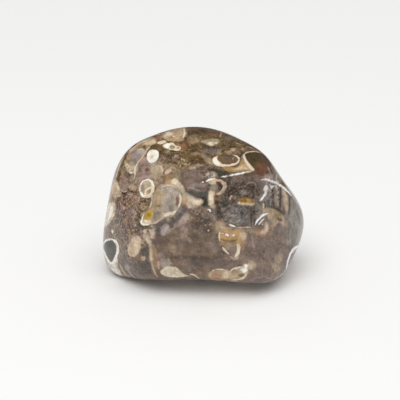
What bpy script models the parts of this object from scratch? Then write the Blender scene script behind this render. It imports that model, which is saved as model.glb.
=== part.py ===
"""A tumbled, polished turritella agate: one solid stone that rests on its own flat foot.

The stone starts as a cube of fine square cells. Every corner of every cell is moved along its own ray
from the stone's core to a rounded, many-sided form. The form is cut by the worn facets that tumbling
left. Its creases are round, its foot is flat, and broken hollows and one raised shelf are pressed into it.
"""
import math

import bmesh
import bpy
import numpy as np

MM = 0.001

# The worn facets. Each is a flat side of the stone before its creases were rounded: the way it faces
# (azimuth from the front, positive to the right, then elevation, in degrees) and its distance from the
# core in millimetres.
FACETS = (
    ("base", 0.0, -90.0, 16.5),
    ("front", -5.0, -5.0, 17.0),
    ("front right", 50.0, 10.0, 18.8),
    ("front left", -50.0, -8.0, 20.5),
    ("front upper left", -42.0, 38.0, 18.6),
    ("front under the ridge", -5.0, -72.0, 15.2),
    ("top front", 8.0, 56.0, 18.8),
    ("top", -164.0, 74.0, 18.6),
    ("top left", -129.0, 62.0, 19.7),
    ("top right", 125.0, 60.0, 17.0),
    ("left", -93.0, 9.0, 21.0),
    ("left shoulder", -100.0, 28.0, 21.6),
    ("lower left", -75.0, -36.0, 26.5),
    ("right", 90.0, -2.0, 23.0),
    ("right shoulder", 103.0, 36.0, 18.0),
    ("lower right", 75.0, -38.0, 22.5),
    ("back", 180.0, 8.0, 17.5),
    ("back left", -140.0, 15.0, 19.0),
    ("back right", 140.0, 12.0, 19.0),
    ("back under the ridge", 180.0, -58.0, 18.5),
    ("lower back left", -145.0, -35.0, 21.0),
)
CORE_HEIGHT = 14.5 * MM      # the core is this far above the foot
CREASE_SHARPNESS = 14.0      # higher keeps the creases between the facets tighter

# Hollows, each a shallow bowl where a flake broke away. Each is seen along its own ray from the core:
# azimuth and elevation in degrees, half width and half height in millimetres, its turn in degrees, its
# depth in millimetres, and how much of that depth moves towards its upper edge.
HOLLOWS = (
    ("pit under the ridge", 22.5, 23.0, 5.6, 5.0, -6.0, 2.1, 0.35),
    ("pit floor", 20.5, 14.5, 4.4, 2.9, 4.0, 1.8, 0.1),
    ("pit side", 37.0, 19.0, 2.4, 4.8, -12.0, 1.3, 0.3),
    ("hollow right of the pit", 58.0, 18.5, 4.6, 4.0, -24.0, 1.1, 0.5),
    ("split left of the pit", -4.0, 24.5, 2.8, 1.5, 0.0, 0.8, 0.4),
    ("shallow under the front", 5.0, -58.0, 9.0, 5.0, 0.0, 0.5, 0.0),
    ("chip in the back", 162.0, 24.0, 6.0, 4.2, 20.0, 1.3, 0.5),
    ("second chip in the back", 150.0, 14.0, 4.0, 3.6, -10.0, 0.9, 0.2),
    ("scar on the right of the back", 112.0, 6.0, 3.8, 6.0, 15.0, 0.9, 0.2),
    ("dent on the left of the back", -122.0, -4.0, 6.0, 4.6, -30.0, 0.8, 0.0),
    ("dent behind the top", 168.0, 62.0, 6.0, 3.6, 0.0, 0.5, 0.0),
)
# Raised places, in the same terms, with a height for the depth.
RISES = (
    ("shelf under the pit", 18.5, 0.5, 3.6, 2.6, 0.0, 0.6, 0.0),
    ("knob left of the back", -150.0, 30.0, 4.0, 3.0, 30.0, 0.5, 0.0),
)
BOWL_CORNER = 2.4            # 2 makes a bowl an ellipse, higher squares its corners
EDGE_ROUND = 0.12            # share of the depth over which a bowl's edge is worn round

# A polished stone is never quite flat: three long low waves run across its facets.
WAVE_HEIGHT = 0.14 * MM
WAVES = ((13.0, 30.0, 10.0), (17.0, -60.0, 40.0), (15.0, 140.0, 65.0))  # length in mm, azimuth, elevation

CELLS = 28                   # cells along each edge of the starting cube
BROKEN_SIDE = (25.0, 15.0)   # azimuth and elevation that the cells crowd towards
CROWDING = 0.3               # how strongly they crowd there, from 0 to below 1

AGATE_BROWN = (0.155, 0.110, 0.085, 1.0)
POLISH_ROUGHNESS = 0.18
CHALCEDONY_IOR = 1.54


def clear_scene():
    """Remove whatever objects the scene starts with."""
    for old in list(bpy.data.objects):
        bpy.data.objects.remove(old, do_unlink=True)


def facing(azimuth, elevation):
    """Unit vector for a direction: azimuth 0 is the front (-Y) and 90 the right (+X)."""
    turn = math.radians(azimuth)
    rise = math.radians(elevation)
    across = math.cos(rise)
    return np.array([math.sin(turn) * across, -math.cos(turn) * across, math.sin(rise)])


def rays_from_cube(corners):
    """Turn points on a cube from -1 to 1 into unit rays, evenly spread and then crowded to the broken side."""
    spread = np.tan(corners * math.pi / 4.0)
    rays = spread / np.linalg.norm(spread, axis=1, keepdims=True)
    rays += CROWDING * facing(*BROKEN_SIDE)
    return rays / np.linalg.norm(rays, axis=1, keepdims=True)


def worn_reach(rays):
    """Distance from the core to the worn form along each ray.

    A ray meets a facet at the facet's distance over the cosine of the angle between them. The reach is a
    power mean of those distances, with a high negative power, so the nearest facet wins and creases stay round.
    """
    total = np.zeros(len(rays))
    for _, azimuth, elevation, distance in FACETS:
        towards = np.clip(rays @ facing(azimuth, elevation), 0.0, None)
        total += (towards / (distance * MM)) ** CREASE_SHARPNESS
    return total ** (-1.0 / CREASE_SHARPNESS)


def bowl_depth(points, azimuth, elevation, half_width, half_height, turn, depth, lean):
    """Depth of one bowl at each point, which is measured from the core.

    The bowl is one minus the squared distance from its middle, in half widths. Its negative part is cut
    off with a rounded corner, so that the worn edge turns over smoothly.
    """
    outward = facing(azimuth, elevation)
    right = facing(azimuth + 90.0, 0.0)
    upward = np.cross(outward, right)
    across = points @ right
    along = points @ upward
    cosine = math.cos(math.radians(turn))
    sine = math.sin(math.radians(turn))
    u = (across * cosine + along * sine) / (half_width * MM)
    v = (along * cosine - across * sine) / (half_height * MM)
    reach = (np.abs(u) ** BOWL_CORNER + np.abs(v) ** BOWL_CORNER) ** (1.0 / BOWL_CORNER)
    bowl = 1.0 - reach ** 2
    worn = (bowl + np.sqrt(bowl ** 2 + EDGE_ROUND ** 2)) / 2.0
    worn = np.where(bowl > -1.0, worn, 0.0)
    slope = 1.0 + lean * np.clip(v, -1.0, 1.0)
    seen = points @ outward > 0.0
    return np.where(seen, depth * MM * slope * worn, 0.0)


def wave_rise(points):
    """Height of the long low waves at each point."""
    rise = np.zeros(len(points))
    for length, azimuth, elevation in WAVES:
        rise += WAVE_HEIGHT * np.sin(points @ facing(azimuth, elevation) * 2.0 * math.pi / (length * MM))
    return rise


def stone_points(corners):
    """Places of the stone's surface for points on the starting cube."""
    rays = rays_from_cube(corners)
    reach = worn_reach(rays)
    plain = rays * reach[:, None]
    reach = reach + wave_rise(plain)
    reach = reach - np.max([bowl_depth(plain, *hollow[1:]) for hollow in HOLLOWS], axis=0)
    reach = reach + np.max([bowl_depth(plain, *rise[1:]) for rise in RISES], axis=0)
    points = rays * reach[:, None]
    points[:, 2] = np.maximum(points[:, 2] + CORE_HEIGHT, 0.0)
    lowest = points.min(axis=0)
    highest = points.max(axis=0)
    points[:, :2] -= (lowest[:2] + highest[:2]) / 2.0
    return points


def make_material():
    """Brown polished chalcedony."""
    material = bpy.data.materials.new("polished_agate")
    material.use_nodes = True
    shader = material.node_tree.nodes["Principled BSDF"]
    shader.inputs["Base Color"].default_value = AGATE_BROWN
    shader.inputs["Roughness"].default_value = POLISH_ROUGHNESS
    shader.inputs["Metallic"].default_value = 0.0
    shader.inputs["IOR"].default_value = CHALCEDONY_IOR
    return material


def make_stone(collection):
    """The whole stone as one closed mesh with a flat foot."""
    shape = bmesh.new()
    bmesh.ops.create_cube(shape, size=2.0)
    bmesh.ops.subdivide_edges(shape, edges=shape.edges[:], cuts=CELLS - 1, use_grid_fill=True)
    corners = np.array([corner.co[:] for corner in shape.verts])
    for corner, place in zip(shape.verts, stone_points(corners)):
        corner.co = place
    bmesh.ops.triangulate(shape, faces=shape.faces[:])
    bmesh.ops.recalc_face_normals(shape, faces=shape.faces[:])
    mesh = bpy.data.meshes.new("stone")
    shape.to_mesh(mesh)
    shape.free()
    mesh.shade_smooth()
    mesh.materials.append(make_material())
    stone = bpy.data.objects.new("stone", mesh)
    collection.objects.link(stone)
    return stone


def main():
    """Build the stone in a collection of its own."""
    clear_scene()
    collection = bpy.data.collections.new("turritella_agate")
    bpy.context.scene.collection.children.link(collection)
    make_stone(collection)


main()
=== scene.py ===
"""Turritella agate: a tumbled stone of silicified snail shells, on a pale studio floor.

The stone is one closed surface. Its form repeats the solid's facets and bowls, with finer breaks added.
Its markings are worked out at every point of the surface as distances, in millimetres, to shell walls,
chamber fillings and mineral patches, and the material turns those distances into sharp edges.
"""

import math

import bpy
import numpy as np
from bpy.props import FloatProperty, FloatVectorProperty, IntProperty, PointerProperty
from mathutils import Matrix, Vector


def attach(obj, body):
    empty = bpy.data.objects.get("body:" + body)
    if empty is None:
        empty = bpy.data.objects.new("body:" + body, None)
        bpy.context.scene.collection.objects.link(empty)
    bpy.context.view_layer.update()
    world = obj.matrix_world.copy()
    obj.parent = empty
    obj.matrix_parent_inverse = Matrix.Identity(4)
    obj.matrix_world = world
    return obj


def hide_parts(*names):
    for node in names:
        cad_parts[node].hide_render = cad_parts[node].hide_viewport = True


bl_info = {
    "name": "Turritella Agate",
    "version": (1, 0, 0),
    "blender": (4, 5, 0),
    "location": "View3D > Sidebar > Agate",
    "description": "Builds a tumbled turritella agate and its studio",
    "category": "Add Mesh",
}

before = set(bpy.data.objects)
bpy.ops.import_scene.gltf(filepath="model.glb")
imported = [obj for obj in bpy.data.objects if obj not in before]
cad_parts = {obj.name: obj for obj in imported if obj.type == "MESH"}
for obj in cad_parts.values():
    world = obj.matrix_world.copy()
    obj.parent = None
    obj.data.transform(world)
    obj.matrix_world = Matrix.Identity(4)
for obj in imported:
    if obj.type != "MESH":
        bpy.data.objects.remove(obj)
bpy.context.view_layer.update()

MM = 0.001

# The form: worn facets, bowls and rises. Directions are azimuth from the front (positive to the right) and
# elevation, in degrees, as seen from the stone's core. Lengths are in millimetres.
FACETS = (
    ("base", 0.0, -90.0, 16.5),
    ("front", -5.0, -5.0, 17.0),
    ("front right", 50.0, 10.0, 18.8),
    ("front left", -50.0, -8.0, 20.5),
    ("front upper left", -42.0, 38.0, 18.6),
    ("front under the ridge", -5.0, -72.0, 15.2),
    ("top front", 8.0, 56.0, 18.8),
    ("top", -164.0, 74.0, 18.6),
    ("top left", -129.0, 62.0, 19.7),
    ("top right", 125.0, 60.0, 17.0),
    ("left", -93.0, 9.0, 21.0),
    ("left shoulder", -100.0, 28.0, 21.6),
    ("lower left", -75.0, -36.0, 26.5),
    ("right", 90.0, -2.0, 23.0),
    ("right shoulder", 103.0, 36.0, 18.0),
    ("lower right", 75.0, -38.0, 22.5),
    ("back", 180.0, 8.0, 17.5),
    ("back left", -140.0, 15.0, 19.0),
    ("back right", 140.0, 12.0, 19.0),
    ("back under the ridge", 180.0, -58.0, 18.5),
    ("lower back left", -145.0, -35.0, 21.0),
)
CORE_HEIGHT = 14.5 * MM
CREASE_SHARPNESS = 14.0           # power of the sum over the facets: more makes sharper creases

# Azimuth, elevation, half width, half height, turn, depth, and how much of it moves to the upper edge.
HOLLOWS = (
    ("pit under the ridge", 22.5, 23.0, 5.6, 5.0, -6.0, 2.1, 0.35),
    ("pit floor", 20.5, 14.5, 4.4, 2.9, 4.0, 1.8, 0.1),
    ("pit side", 37.0, 19.0, 2.4, 4.8, -12.0, 1.3, 0.3),
    ("hollow right of the pit", 58.0, 18.5, 4.6, 4.0, -24.0, 1.1, 0.5),
    ("split left of the pit", -4.0, 24.5, 2.8, 1.5, 0.0, 0.8, 0.4),
    ("shallow under the front", 5.0, -58.0, 9.0, 5.0, 0.0, 0.5, 0.0),
    ("chip in the back", 162.0, 24.0, 6.0, 4.2, 20.0, 1.3, 0.5),
    ("second chip in the back", 150.0, 14.0, 4.0, 3.6, -10.0, 0.9, 0.2),
    ("scar on the right of the back", 112.0, 6.0, 3.8, 6.0, 15.0, 0.9, 0.2),
    ("dent on the left of the back", -122.0, -4.0, 6.0, 4.6, -30.0, 0.8, 0.0),
    ("dent behind the top", 168.0, 62.0, 6.0, 3.6, 0.0, 0.5, 0.0),
)
RISES = (
    ("shelf under the pit", 18.5, 0.5, 3.6, 2.6, 0.0, 0.6, 0.0),
    ("knob left of the back", -150.0, 30.0, 4.0, 3.0, 30.0, 0.5, 0.0),
)
BOWL_CORNER = 2.4                 # power of a bowl's outline: 2 is an oval, and more is squarer
EDGE_ROUND = 0.12                 # wear of a bowl's edge, as a share of its depth

# Low waves of the polish: their height, and the length, azimuth and elevation of each.
WAVE_HEIGHT = 0.14
WAVES = ((13.0, 30.0, 10.0), (17.0, -60.0, 40.0), (15.0, 140.0, 65.0))

# The surface's points stand closer together on the broken side.
BROKEN_SIDE = (25.0, 15.0)
CROWDING = 0.3

# Smooth noise is a sum of sine waves in octaves.
NOISE_WAVES = 9                   # waves in each octave
NOISE_FADE = 0.55                 # strength of an octave, as a share of the last one's
NOISE_SPREAD = (0.7, 1.4)         # how many times a single wave fits into the octave's length
NOISE_GAIN = 0.9

# The view that the front's markings are drawn in: a square picture of 400 points a side.
PICTURE = 400.0
PICTURE_CORE = (203.0, 209.0)     # where the stone's core shows in the picture
POINT_SIZE = 0.22                 # millimetres of the stone across one point of the picture, at its core
LENS = 85.0
SENSOR = 36.0
CAMERA_RISE = 18.0                # degrees above the floor
CAMERA_AWAY = PICTURE * POINT_SIZE * LENS / SENSOR * MM


def facing(azimuth, elevation):
    """Unit vector for a direction: azimuth 0 is the front (-Y) and 90 the right (+X)."""
    turn = math.radians(azimuth)
    rise = math.radians(elevation)
    across = math.cos(rise)
    return np.array([math.sin(turn) * across, -math.cos(turn) * across, math.sin(rise)])


def unit(vectors):
    """Vectors scaled to a length of one."""
    return vectors / np.maximum(np.linalg.norm(vectors, axis=-1, keepdims=True), 1e-12)


def ease(amount):
    """Rise smoothly from 0 to 1 as amount goes from 0 to 1."""
    held = np.clip(amount, 0.0, 1.0)
    return held * held * (3.0 - 2.0 * held)


def from_display(red, green, blue):
    """Linear colour of an 8-bit display colour."""
    share = np.array([red, green, blue], float) / 255.0
    return np.where(share <= 0.04045, share / 12.92, ((share + 0.055) / 1.055) ** 2.4)


POLISH_VEIL = 0.022               # what the polish reflects of the pale studio, everywhere
STUDIO_LIGHT = 0.895              # how bright a white patch of the stone would look
BLACKEST, WHITEST = 0.004, 0.95   # what a real mineral gives back of the light, at least and at most


def seen(red, green, blue):
    """Base colour of a mineral that looks like this display colour under the studio's light."""
    base = (from_display(red, green, blue) - POLISH_VEIL) / STUDIO_LIGHT
    return tuple(float(part) for part in np.clip(base, BLACKEST, WHITEST))


def opaque(colour_parts):
    """A colour with the fourth part that a node's socket wants."""
    return (*colour_parts, 1.0)


def colour(name, description, red, green, blue):
    """A colour property whose default is given as it looks under the studio's light."""
    return FloatVectorProperty(
        name=name, description=description, subtype="COLOR", size=3, min=0.0, max=1.0,
        default=seen(red, green, blue),
    )


class AgateColours(bpy.types.PropertyGroup):
    """Colours of the stone's minerals."""

    ooze: colour("Ooze", "Speckled brown silica between the shells", 124, 105, 90)
    chocolate: colour("Chocolate", "Smooth brown silica of the lower front", 117, 98, 83)
    mauve: colour("Mauve", "Brown silica with a violet cast", 126, 108, 98)
    golden: colour("Golden brown", "Yellow-brown silica of the top", 110, 92, 65)
    rust: colour("Rust", "Red-brown iron stain", 112, 80, 66)
    umber: colour("Umber", "Dark brown broken silica", 92, 78, 66)
    slate: colour("Slate", "Dark grey glassy chalcedony", 84, 78, 76)
    smoke: colour("Smoke", "Blue-grey glassy chalcedony", 116, 109, 106)
    olive: colour("Olive", "Green-black chamber filling", 74, 68, 50)
    maroon: colour("Maroon", "Wine-brown chamber filling", 110, 83, 73)
    hazel: colour("Hazel", "Grey-brown chamber filling", 116, 98, 80)
    lilac: colour("Lilac", "Grey-lilac chamber filling", 152, 139, 134)
    pearl: colour("Pearl", "Pale grey chamber filling", 172, 160, 148)
    sand: colour("Sand", "Tan chamber filling", 176, 155, 128)
    buff: colour("Buff", "Pale pink-tan filling", 198, 176, 154)
    biscuit: colour("Biscuit", "Pale tan filling", 208, 190, 164)
    ochre: colour("Ochre", "Yellow-brown mineral", 178, 146, 102)
    amber: colour("Amber", "Clear gold chalcedony", 186, 153, 66)
    cinnamon: colour("Cinnamon", "Dark gold-brown mineral", 128, 98, 60)
    peach: colour("Peach", "Orange-pink mineral", 190, 150, 124)
    rose: colour("Rose", "Pink-grey mineral", 158, 136, 126)
    cream: colour("Cream", "Shell wall, aged", 222, 207, 183)
    white: colour("White", "Shell wall, fresh", 243, 236, 224)
    # Painted highlight: this white paints most of the glints of the ridge, the pit and the shelf; on the
    # right wall it is shell
    chalk: colour("Chalk", "Bruised white edge", 250, 248, 244)
    # Ash also paints the pale reflection along the right edge
    ash: colour("Ash", "Cool grey silica of the right edge", 136, 131, 122)
    moss: colour("Moss", "Green-grey mineral", 155, 145, 115)
    pine: colour("Pine", "Dark green-grey glassy filling", 74, 72, 63)
    tan: colour("Tan", "Grey-tan filling", 164, 144, 119)
    blush: colour("Blush", "Pink mineral", 188, 160, 148)
    orange: colour("Orange", "Orange-brown mineral", 172, 128, 98)
    gold: colour("Dark gold", "Dark gold chalcedony", 138, 108, 58)
    bottle: colour("Bottle green", "Green-black glassy filling", 48, 54, 34)
    coffee: colour("Coffee", "Darkest brown silica", 80, 64, 52)
    wine: colour("Wine", "Red-violet chamber filling", 120, 88, 76)


class AgateForm(bpy.types.PropertyGroup):
    """Sizes of the stone's surface."""

    cells: IntProperty(
        name="Cells", description="Cells along each edge of the starting cube", default=128, min=16, max=128)
    break_depth: FloatProperty(
        name="Break depth", description="Depth of the fine breaks inside the pit", default=0.16 * MM,
        min=0.0, max=0.5 * MM, unit="LENGTH", precision=5)
    seed: IntProperty(
        name="Seed", description="Draw of the snails on the sides that the front view hides", default=7,
        min=0)


class AgateStudio(bpy.types.PropertyGroup):
    """Light and floor."""

    floor: FloatVectorProperty(
        name="Floor", description="Colour of the floor", subtype="COLOR", size=3, min=0.0, max=1.0,
        default=(0.95, 0.95, 0.94))
    floor_glow: FloatProperty(
        name="Floor glow", description="Light that the floor adds of its own", default=0.03, min=0.0)
    floor_size: FloatProperty(
        name="Floor size", description="Width of the floor", default=3.0, min=0.5, unit="LENGTH")
    sky: FloatProperty(name="Sky", description="Strength of the even light", default=0.42, min=0.0)
    mirrored_sky: FloatProperty(
        name="Mirrored sky", description="Strength of the even light that the polish mirrors", default=0.1,
        min=0.0)
    backdrop: FloatProperty(
        name="Backdrop", description="Brightness of the studio behind the floor", default=0.93, min=0.0)
    key: FloatProperty(
        name="Key", description="Strength of the wide soft light from above", default=1.82, min=0.0)
    glow: FloatProperty(
        name="Soft box", description="Power of the soft box that the polish mirrors", default=0.12, min=0.0,
        unit="POWER", precision=3)


# The stone's surface
def cube_grid(cells):
    """Six grids of whole-number points that cover a cube's faces, with the corners in outward order.

    Each grid is a function of two parameters, its row and its column. Neighbours share the points of the
    cube's edges.
    """
    rows, columns = np.meshgrid(np.arange(cells + 1), np.arange(cells + 1), indexing="ij")
    far = np.full_like(rows, cells)
    near = np.zeros_like(rows)
    return np.array([
        np.stack(sides, -1)
        for sides in (
            (far, rows, columns), (near, cells - rows, columns), (cells - rows, far, columns),
            (rows, near, columns), (cells - columns, rows, far), (columns, rows, near),
        )
    ])


def welded(grid):
    """The grid's points without repeats, and each grid point's place in that list."""
    flat = grid.reshape(-1, 3)
    side = int(flat.max()) + 1
    keys = (flat[:, 0] * side + flat[:, 1]) * side + flat[:, 2]
    _, first, place = np.unique(keys, return_index=True, return_inverse=True)
    return flat[first], place.reshape(grid.shape[:3])


def cell_corners(place):
    """The four corner points of every cell, in outward order."""
    corners = (place[:, :-1, :-1], place[:, 1:, :-1], place[:, 1:, 1:], place[:, :-1, 1:])
    return np.stack(corners, -1).reshape(-1, 4)


def rays_from_cube(points, cells):
    """Unit rays through points on the cube, evenly spread and then crowded to the broken side."""
    spread = np.tan((2.0 * points / cells - 1.0) * math.pi / 4.0)
    return unit(unit(spread) + CROWDING * facing(*BROKEN_SIDE))


def worn_reach(rays):
    """Distance in millimetres from the core to the worn form along each ray.

    A ray meets a facet at the facet's distance over the cosine of the angle between them. The reach is a
    power sum of those distances with a high negative power, so the nearest facet wins and the creases
    stay round.
    """
    total = np.zeros(len(rays))
    for _, azimuth, elevation, distance in FACETS:
        towards = np.clip(rays @ facing(azimuth, elevation), 0.0, None)
        total += (towards / distance) ** CREASE_SHARPNESS
    return total ** (-1.0 / CREASE_SHARPNESS)


def bowl_depth(points, azimuth, elevation, half_width, half_height, turn, depth, lean):
    """Depth of one bowl at each point: one minus the squared distance from its middle, with a worn edge."""
    outward = facing(azimuth, elevation)
    right = facing(azimuth + 90.0, 0.0)
    upward = np.cross(outward, right)
    across = points @ right
    along = points @ upward
    cosine = math.cos(math.radians(turn))
    sine = math.sin(math.radians(turn))
    u = (across * cosine + along * sine) / half_width
    v = (along * cosine - across * sine) / half_height
    reach = (np.abs(u) ** BOWL_CORNER + np.abs(v) ** BOWL_CORNER) ** (1.0 / BOWL_CORNER)
    bowl = 1.0 - reach ** 2
    worn = (bowl + np.sqrt(bowl ** 2 + EDGE_ROUND ** 2)) / 2.0
    worn = np.where(bowl > -1.0, worn, 0.0)
    slope = 1.0 + lean * np.clip(v, -1.0, 1.0)
    return np.where(points @ outward > 0.0, depth * slope * worn, 0.0)


def wave_rise(points):
    """Height of the three long low waves of the polish at each point."""
    rise = np.zeros(len(points))
    for length, azimuth, elevation in WAVES:
        rise += WAVE_HEIGHT * np.sin(points @ facing(azimuth, elevation) * 2.0 * math.pi / length)
    return rise


def wobble(points, length, seed, octaves=3):
    """Smooth noise from -1 to 1: a sum of sine waves of about one length, each octave finer and weaker."""
    draw = np.random.default_rng(seed)
    total = np.zeros(len(points))
    weight = 0.0
    for octave in range(octaves):
        strength = NOISE_FADE ** octave
        directions = unit(draw.normal(size=(NOISE_WAVES, 3))) * 2.0 * math.pi / (length * 0.5 ** octave)
        directions *= draw.uniform(*NOISE_SPREAD, size=(NOISE_WAVES, 1))
        phases = draw.uniform(0.0, 2.0 * math.pi, NOISE_WAVES)
        total += strength * np.sin(points @ directions.T + phases).sum(1) / math.sqrt(NOISE_WAVES)
        weight += strength
    return np.clip(total / weight * NOISE_GAIN, -1.0, 1.0)


# The front view: from points of the stone to the picture
def view_axes():
    """Right, up and forward of the camera."""
    forward = -facing(0.0, CAMERA_RISE)
    right = np.array([1.0, 0.0, 0.0])
    return right, np.cross(right, forward), forward


def in_picture(points):
    """Where points, in millimetres from the core, show in the picture."""
    right, upward, forward = view_axes()
    depth = points @ forward + CAMERA_AWAY / MM
    scale = LENS / SENSOR * PICTURE / depth
    across, down = PICTURE_CORE
    return np.stack([across + points @ right * scale, down - points @ upward * scale], -1)


def spline(points, closed, steps=6):
    """A smooth curve through a few points (Catmull-Rom), as a list of close points."""
    given = np.asarray(points, float).reshape(-1, 2)
    if closed:
        padded = np.concatenate([given[-1:], given, given[:2]])
    else:
        ends = (2.0 * given[:1] - given[1:2], 2.0 * given[-1:] - given[-2:-1])
        padded = np.concatenate([ends[0], given, ends[1]])
    share = (np.arange(steps) / steps)[None, :, None]
    p0, p1, p2, p3 = (padded[i:len(padded) - 3 + i][:, None, :] for i in range(4))
    curve = 0.5 * (
        2.0 * p1 + (p2 - p0) * share + (2.0 * p0 - 5.0 * p1 + 4.0 * p2 - p3) * share ** 2
        + (3.0 * p1 - p0 - 3.0 * p2 + p3) * share ** 3
    )
    curve = curve.reshape(-1, 2)
    return curve if closed else np.concatenate([curve, given[-1:]])


def path_distance(points, path, closed):
    """Distance from each flat point to a path, and how far along the path (0 to 1) its nearest place is."""
    start = path if closed else path[:-1]
    step = (np.roll(path, -1, axis=0) if closed else path[1:]) - start
    length = np.maximum((step ** 2).sum(1), 1e-12)
    away = points[:, None, :] - start[None]
    share = np.clip((away * step[None]).sum(2) / length, 0.0, 1.0)
    gap = np.sqrt(((away - share[..., None] * step[None]) ** 2).sum(2))
    nearest = gap.argmin(1)
    rows = np.arange(len(points))
    run = np.concatenate([[0.0], np.cumsum(np.sqrt(length))])
    along = (run[nearest] + share[rows, nearest] * np.sqrt(length[nearest])) / run[-1]
    return gap[rows, nearest], along


def outline_distance(points, outline):
    """Signed distance from each flat point to a closed outline, negative inside."""
    gap, _ = path_distance(points, outline, True)
    ahead = np.roll(outline, -1, axis=0)
    x, y = points[:, None, 0], points[:, None, 1]
    above = outline[None, :, 1] > y
    crosses = above != (ahead[None, :, 1] > y)
    rise = ahead[:, 1] - outline[:, 1]
    rise = np.where(np.abs(rise) < 1e-9, 1e-9, rise)
    meets = outline[None, :, 0] + (y - outline[None, :, 1]) / rise * (ahead[:, 0] - outline[:, 0])
    inside = (crosses & (x < meets)).sum(1) % 2 == 1
    return np.where(inside, -gap, gap)


# Markings are painted on the points of the surface, in layers. The ground covers everything. A patch, a
# filling or a shell wall shows where its distance, in millimetres, is below zero.
NOWHERE = 9.0                     # distance of a layer that isn't near
PAST_EDGE = 0.5                   # how far past its edge a colour goes, for the shaken edge to find it
IN_VIEW = 0.02                    # a point shows where the cosine of its normal to the view is above this
UNEVEN = (2.4, 21)                # length in millimetres and seed of the noise that bends outlines
RAGGED = (0.9, 22)                # and of the noise that frays them
NEIGHBOURS = 4                    # surface points that give a place of the picture its place on the stone


class Skin:
    """The stone's surface points with everything that is painted on them."""

    def __init__(self, points, normals, palette):
        """Hold points in millimetres from the core, their normals and the palette of base colours."""
        self.points = points
        self.normals = normals
        self.palette = palette
        self.picture = in_picture(points)
        sight = unit(points + view_axes()[2] * CAMERA_AWAY / MM)
        self.towards = -(normals * sight).sum(1)
        count = len(points)
        self.value = {name: np.full(count, NOWHERE) for name in ("patch", "fill", "shell")}
        self.value.update({name: np.zeros(count) for name in ("speckle", "rough")})
        self.colour = {name: np.tile(palette["ooze"], (count, 1)) for name in ("ground", "patch", "fill")}
        self.colour["shell"] = np.tile(palette["cream"], (count, 1))
        self.shown = np.flatnonzero(self.towards > IN_VIEW)
        self.uneven = wobble(points, *UNEVEN)
        self.ragged = wobble(points, *RAGGED)

    def on_surface(self, places):
        """Surface points that show at the given places of the picture, blended from the nearest four."""
        found = np.empty((len(places), 3))
        grid = self.picture[self.shown]
        for row, place in enumerate(places):
            gap = ((grid - place) ** 2).sum(1)
            nearest = np.argpartition(gap, NEIGHBOURS)[:NEIGHBOURS]
            weight = 1.0 / (gap[nearest] + 0.01)
            found[row] = (self.points[self.shown[nearest]] * weight[:, None]).sum(0) / weight.sum()
        return found

    def flatten(self, places, margin):
        """Lay picture places and the surface around them flat on the tangent plane, in millimetres."""
        spots = self.on_surface(np.asarray(places, float))
        middle = spots.mean(0)
        nearest = ((self.points[self.shown] - middle) ** 2).sum(1).argmin()
        normal = self.normals[self.shown[nearest]]
        right = unit(view_axes()[0] - normal * (view_axes()[0] @ normal))
        upward = np.cross(normal, right)
        plane = np.stack([right, upward], 1)
        reach = np.sqrt(((spots - middle) ** 2).sum(1)).max() + margin
        away = self.points - middle
        picked = np.flatnonzero(((away ** 2).sum(1) < reach ** 2) & (self.normals @ normal > 0.05))
        return picked, away[picked] @ plane, (spots - middle) @ plane

    def lay(self, layer, picked, distance, shade):
        """Lay a shape into a layer: the nearer of its distance and the one there, and its colour."""
        value = self.value[layer]
        nearer = distance < value[picked]
        value[picked] = np.minimum(value[picked], distance)
        touched = (nearer | (distance < 0.0)) & (distance < PAST_EDGE)
        self.colour[layer][picked[touched]] = np.broadcast_to(shade, (len(picked), 3))[touched]

    def clear(self, layers, picked, inside):
        """Take layers away inside a shape."""
        for layer in layers:
            self.value[layer][picked] = np.maximum(self.value[layer][picked], -inside)

    def blend(self, layers, picked, shade, share):
        """Mix a colour into layers by a share from 0 to 1 at each point."""
        for layer in layers:
            painted = self.colour[layer]
            painted[picked] = painted[picked] * (1.0 - share[:, None]) + self.palette[shade] * share[:, None]


# Kinds of marking
CLOSE = 0.8                       # how far round a shape its distances are worked out, in millimetres


def shape(skin, outline, uneven=0.0, ragged=0.0, margin=CLOSE):
    """Points round a closed outline and their distances to it, bent and frayed by millimetres of noise."""
    picked, flat, laid = skin.flatten(spline(outline, True), margin)
    return picked, outline_distance(flat, laid) + uneven * skin.uneven[picked] + ragged * skin.ragged[picked]


def thinned(along, share, power=3):
    """How full a line is at each place along it: whole in its middle, and less by a share at its ends."""
    return 1.0 - share * np.abs(2.0 * along - 1.0) ** power


def oval(place, size, corners):
    """Points of the picture spaced evenly round a place."""
    turns = np.linspace(0.0, 2.0 * math.pi, corners, endpoint=False)
    return np.asarray(place, float) + np.stack([np.cos(turns), np.sin(turns)], 1) * size


def chamber(skin, outer, inner, wall, fill):
    """A cut whorl: the shell wall lies between two outlines, and the filling inside the second one."""
    rim = spline(outer, True)
    room = spline(inner, True)
    picked, flat, laid = skin.flatten(np.concatenate([rim, room]), 1.5 * CLOSE)
    outside = outline_distance(flat, laid[:len(rim)]) + 0.05 * skin.ragged[picked]
    inside = outline_distance(flat, laid[len(rim):]) + 0.13 * skin.uneven[picked]
    skin.clear(("patch", "fill", "shell"), picked, outside)
    skin.lay("shell", picked, np.maximum(outside, -inside), skin.palette[wall])
    skin.lay("fill", picked, inside, skin.palette[fill])


def hollow(skin, outline, fill):
    """A chamber's filling without a wall of its own."""
    picked, inside = shape(skin, outline)
    skin.clear(("patch", "shell"), picked, inside)
    skin.lay("fill", picked, inside, skin.palette[fill])


def flake(skin, outline, shade):
    """A solid piece of shell cut flat."""
    skin.lay("shell", *shape(skin, outline), skin.palette[shade])


def patch(skin, outline, shade):
    """A patch of mineral with a clear edge."""
    picked, distance = shape(skin, outline, uneven=0.05, ragged=0.05)
    skin.clear(("fill", "shell"), picked, distance)
    skin.lay("patch", picked, distance, skin.palette[shade])


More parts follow.
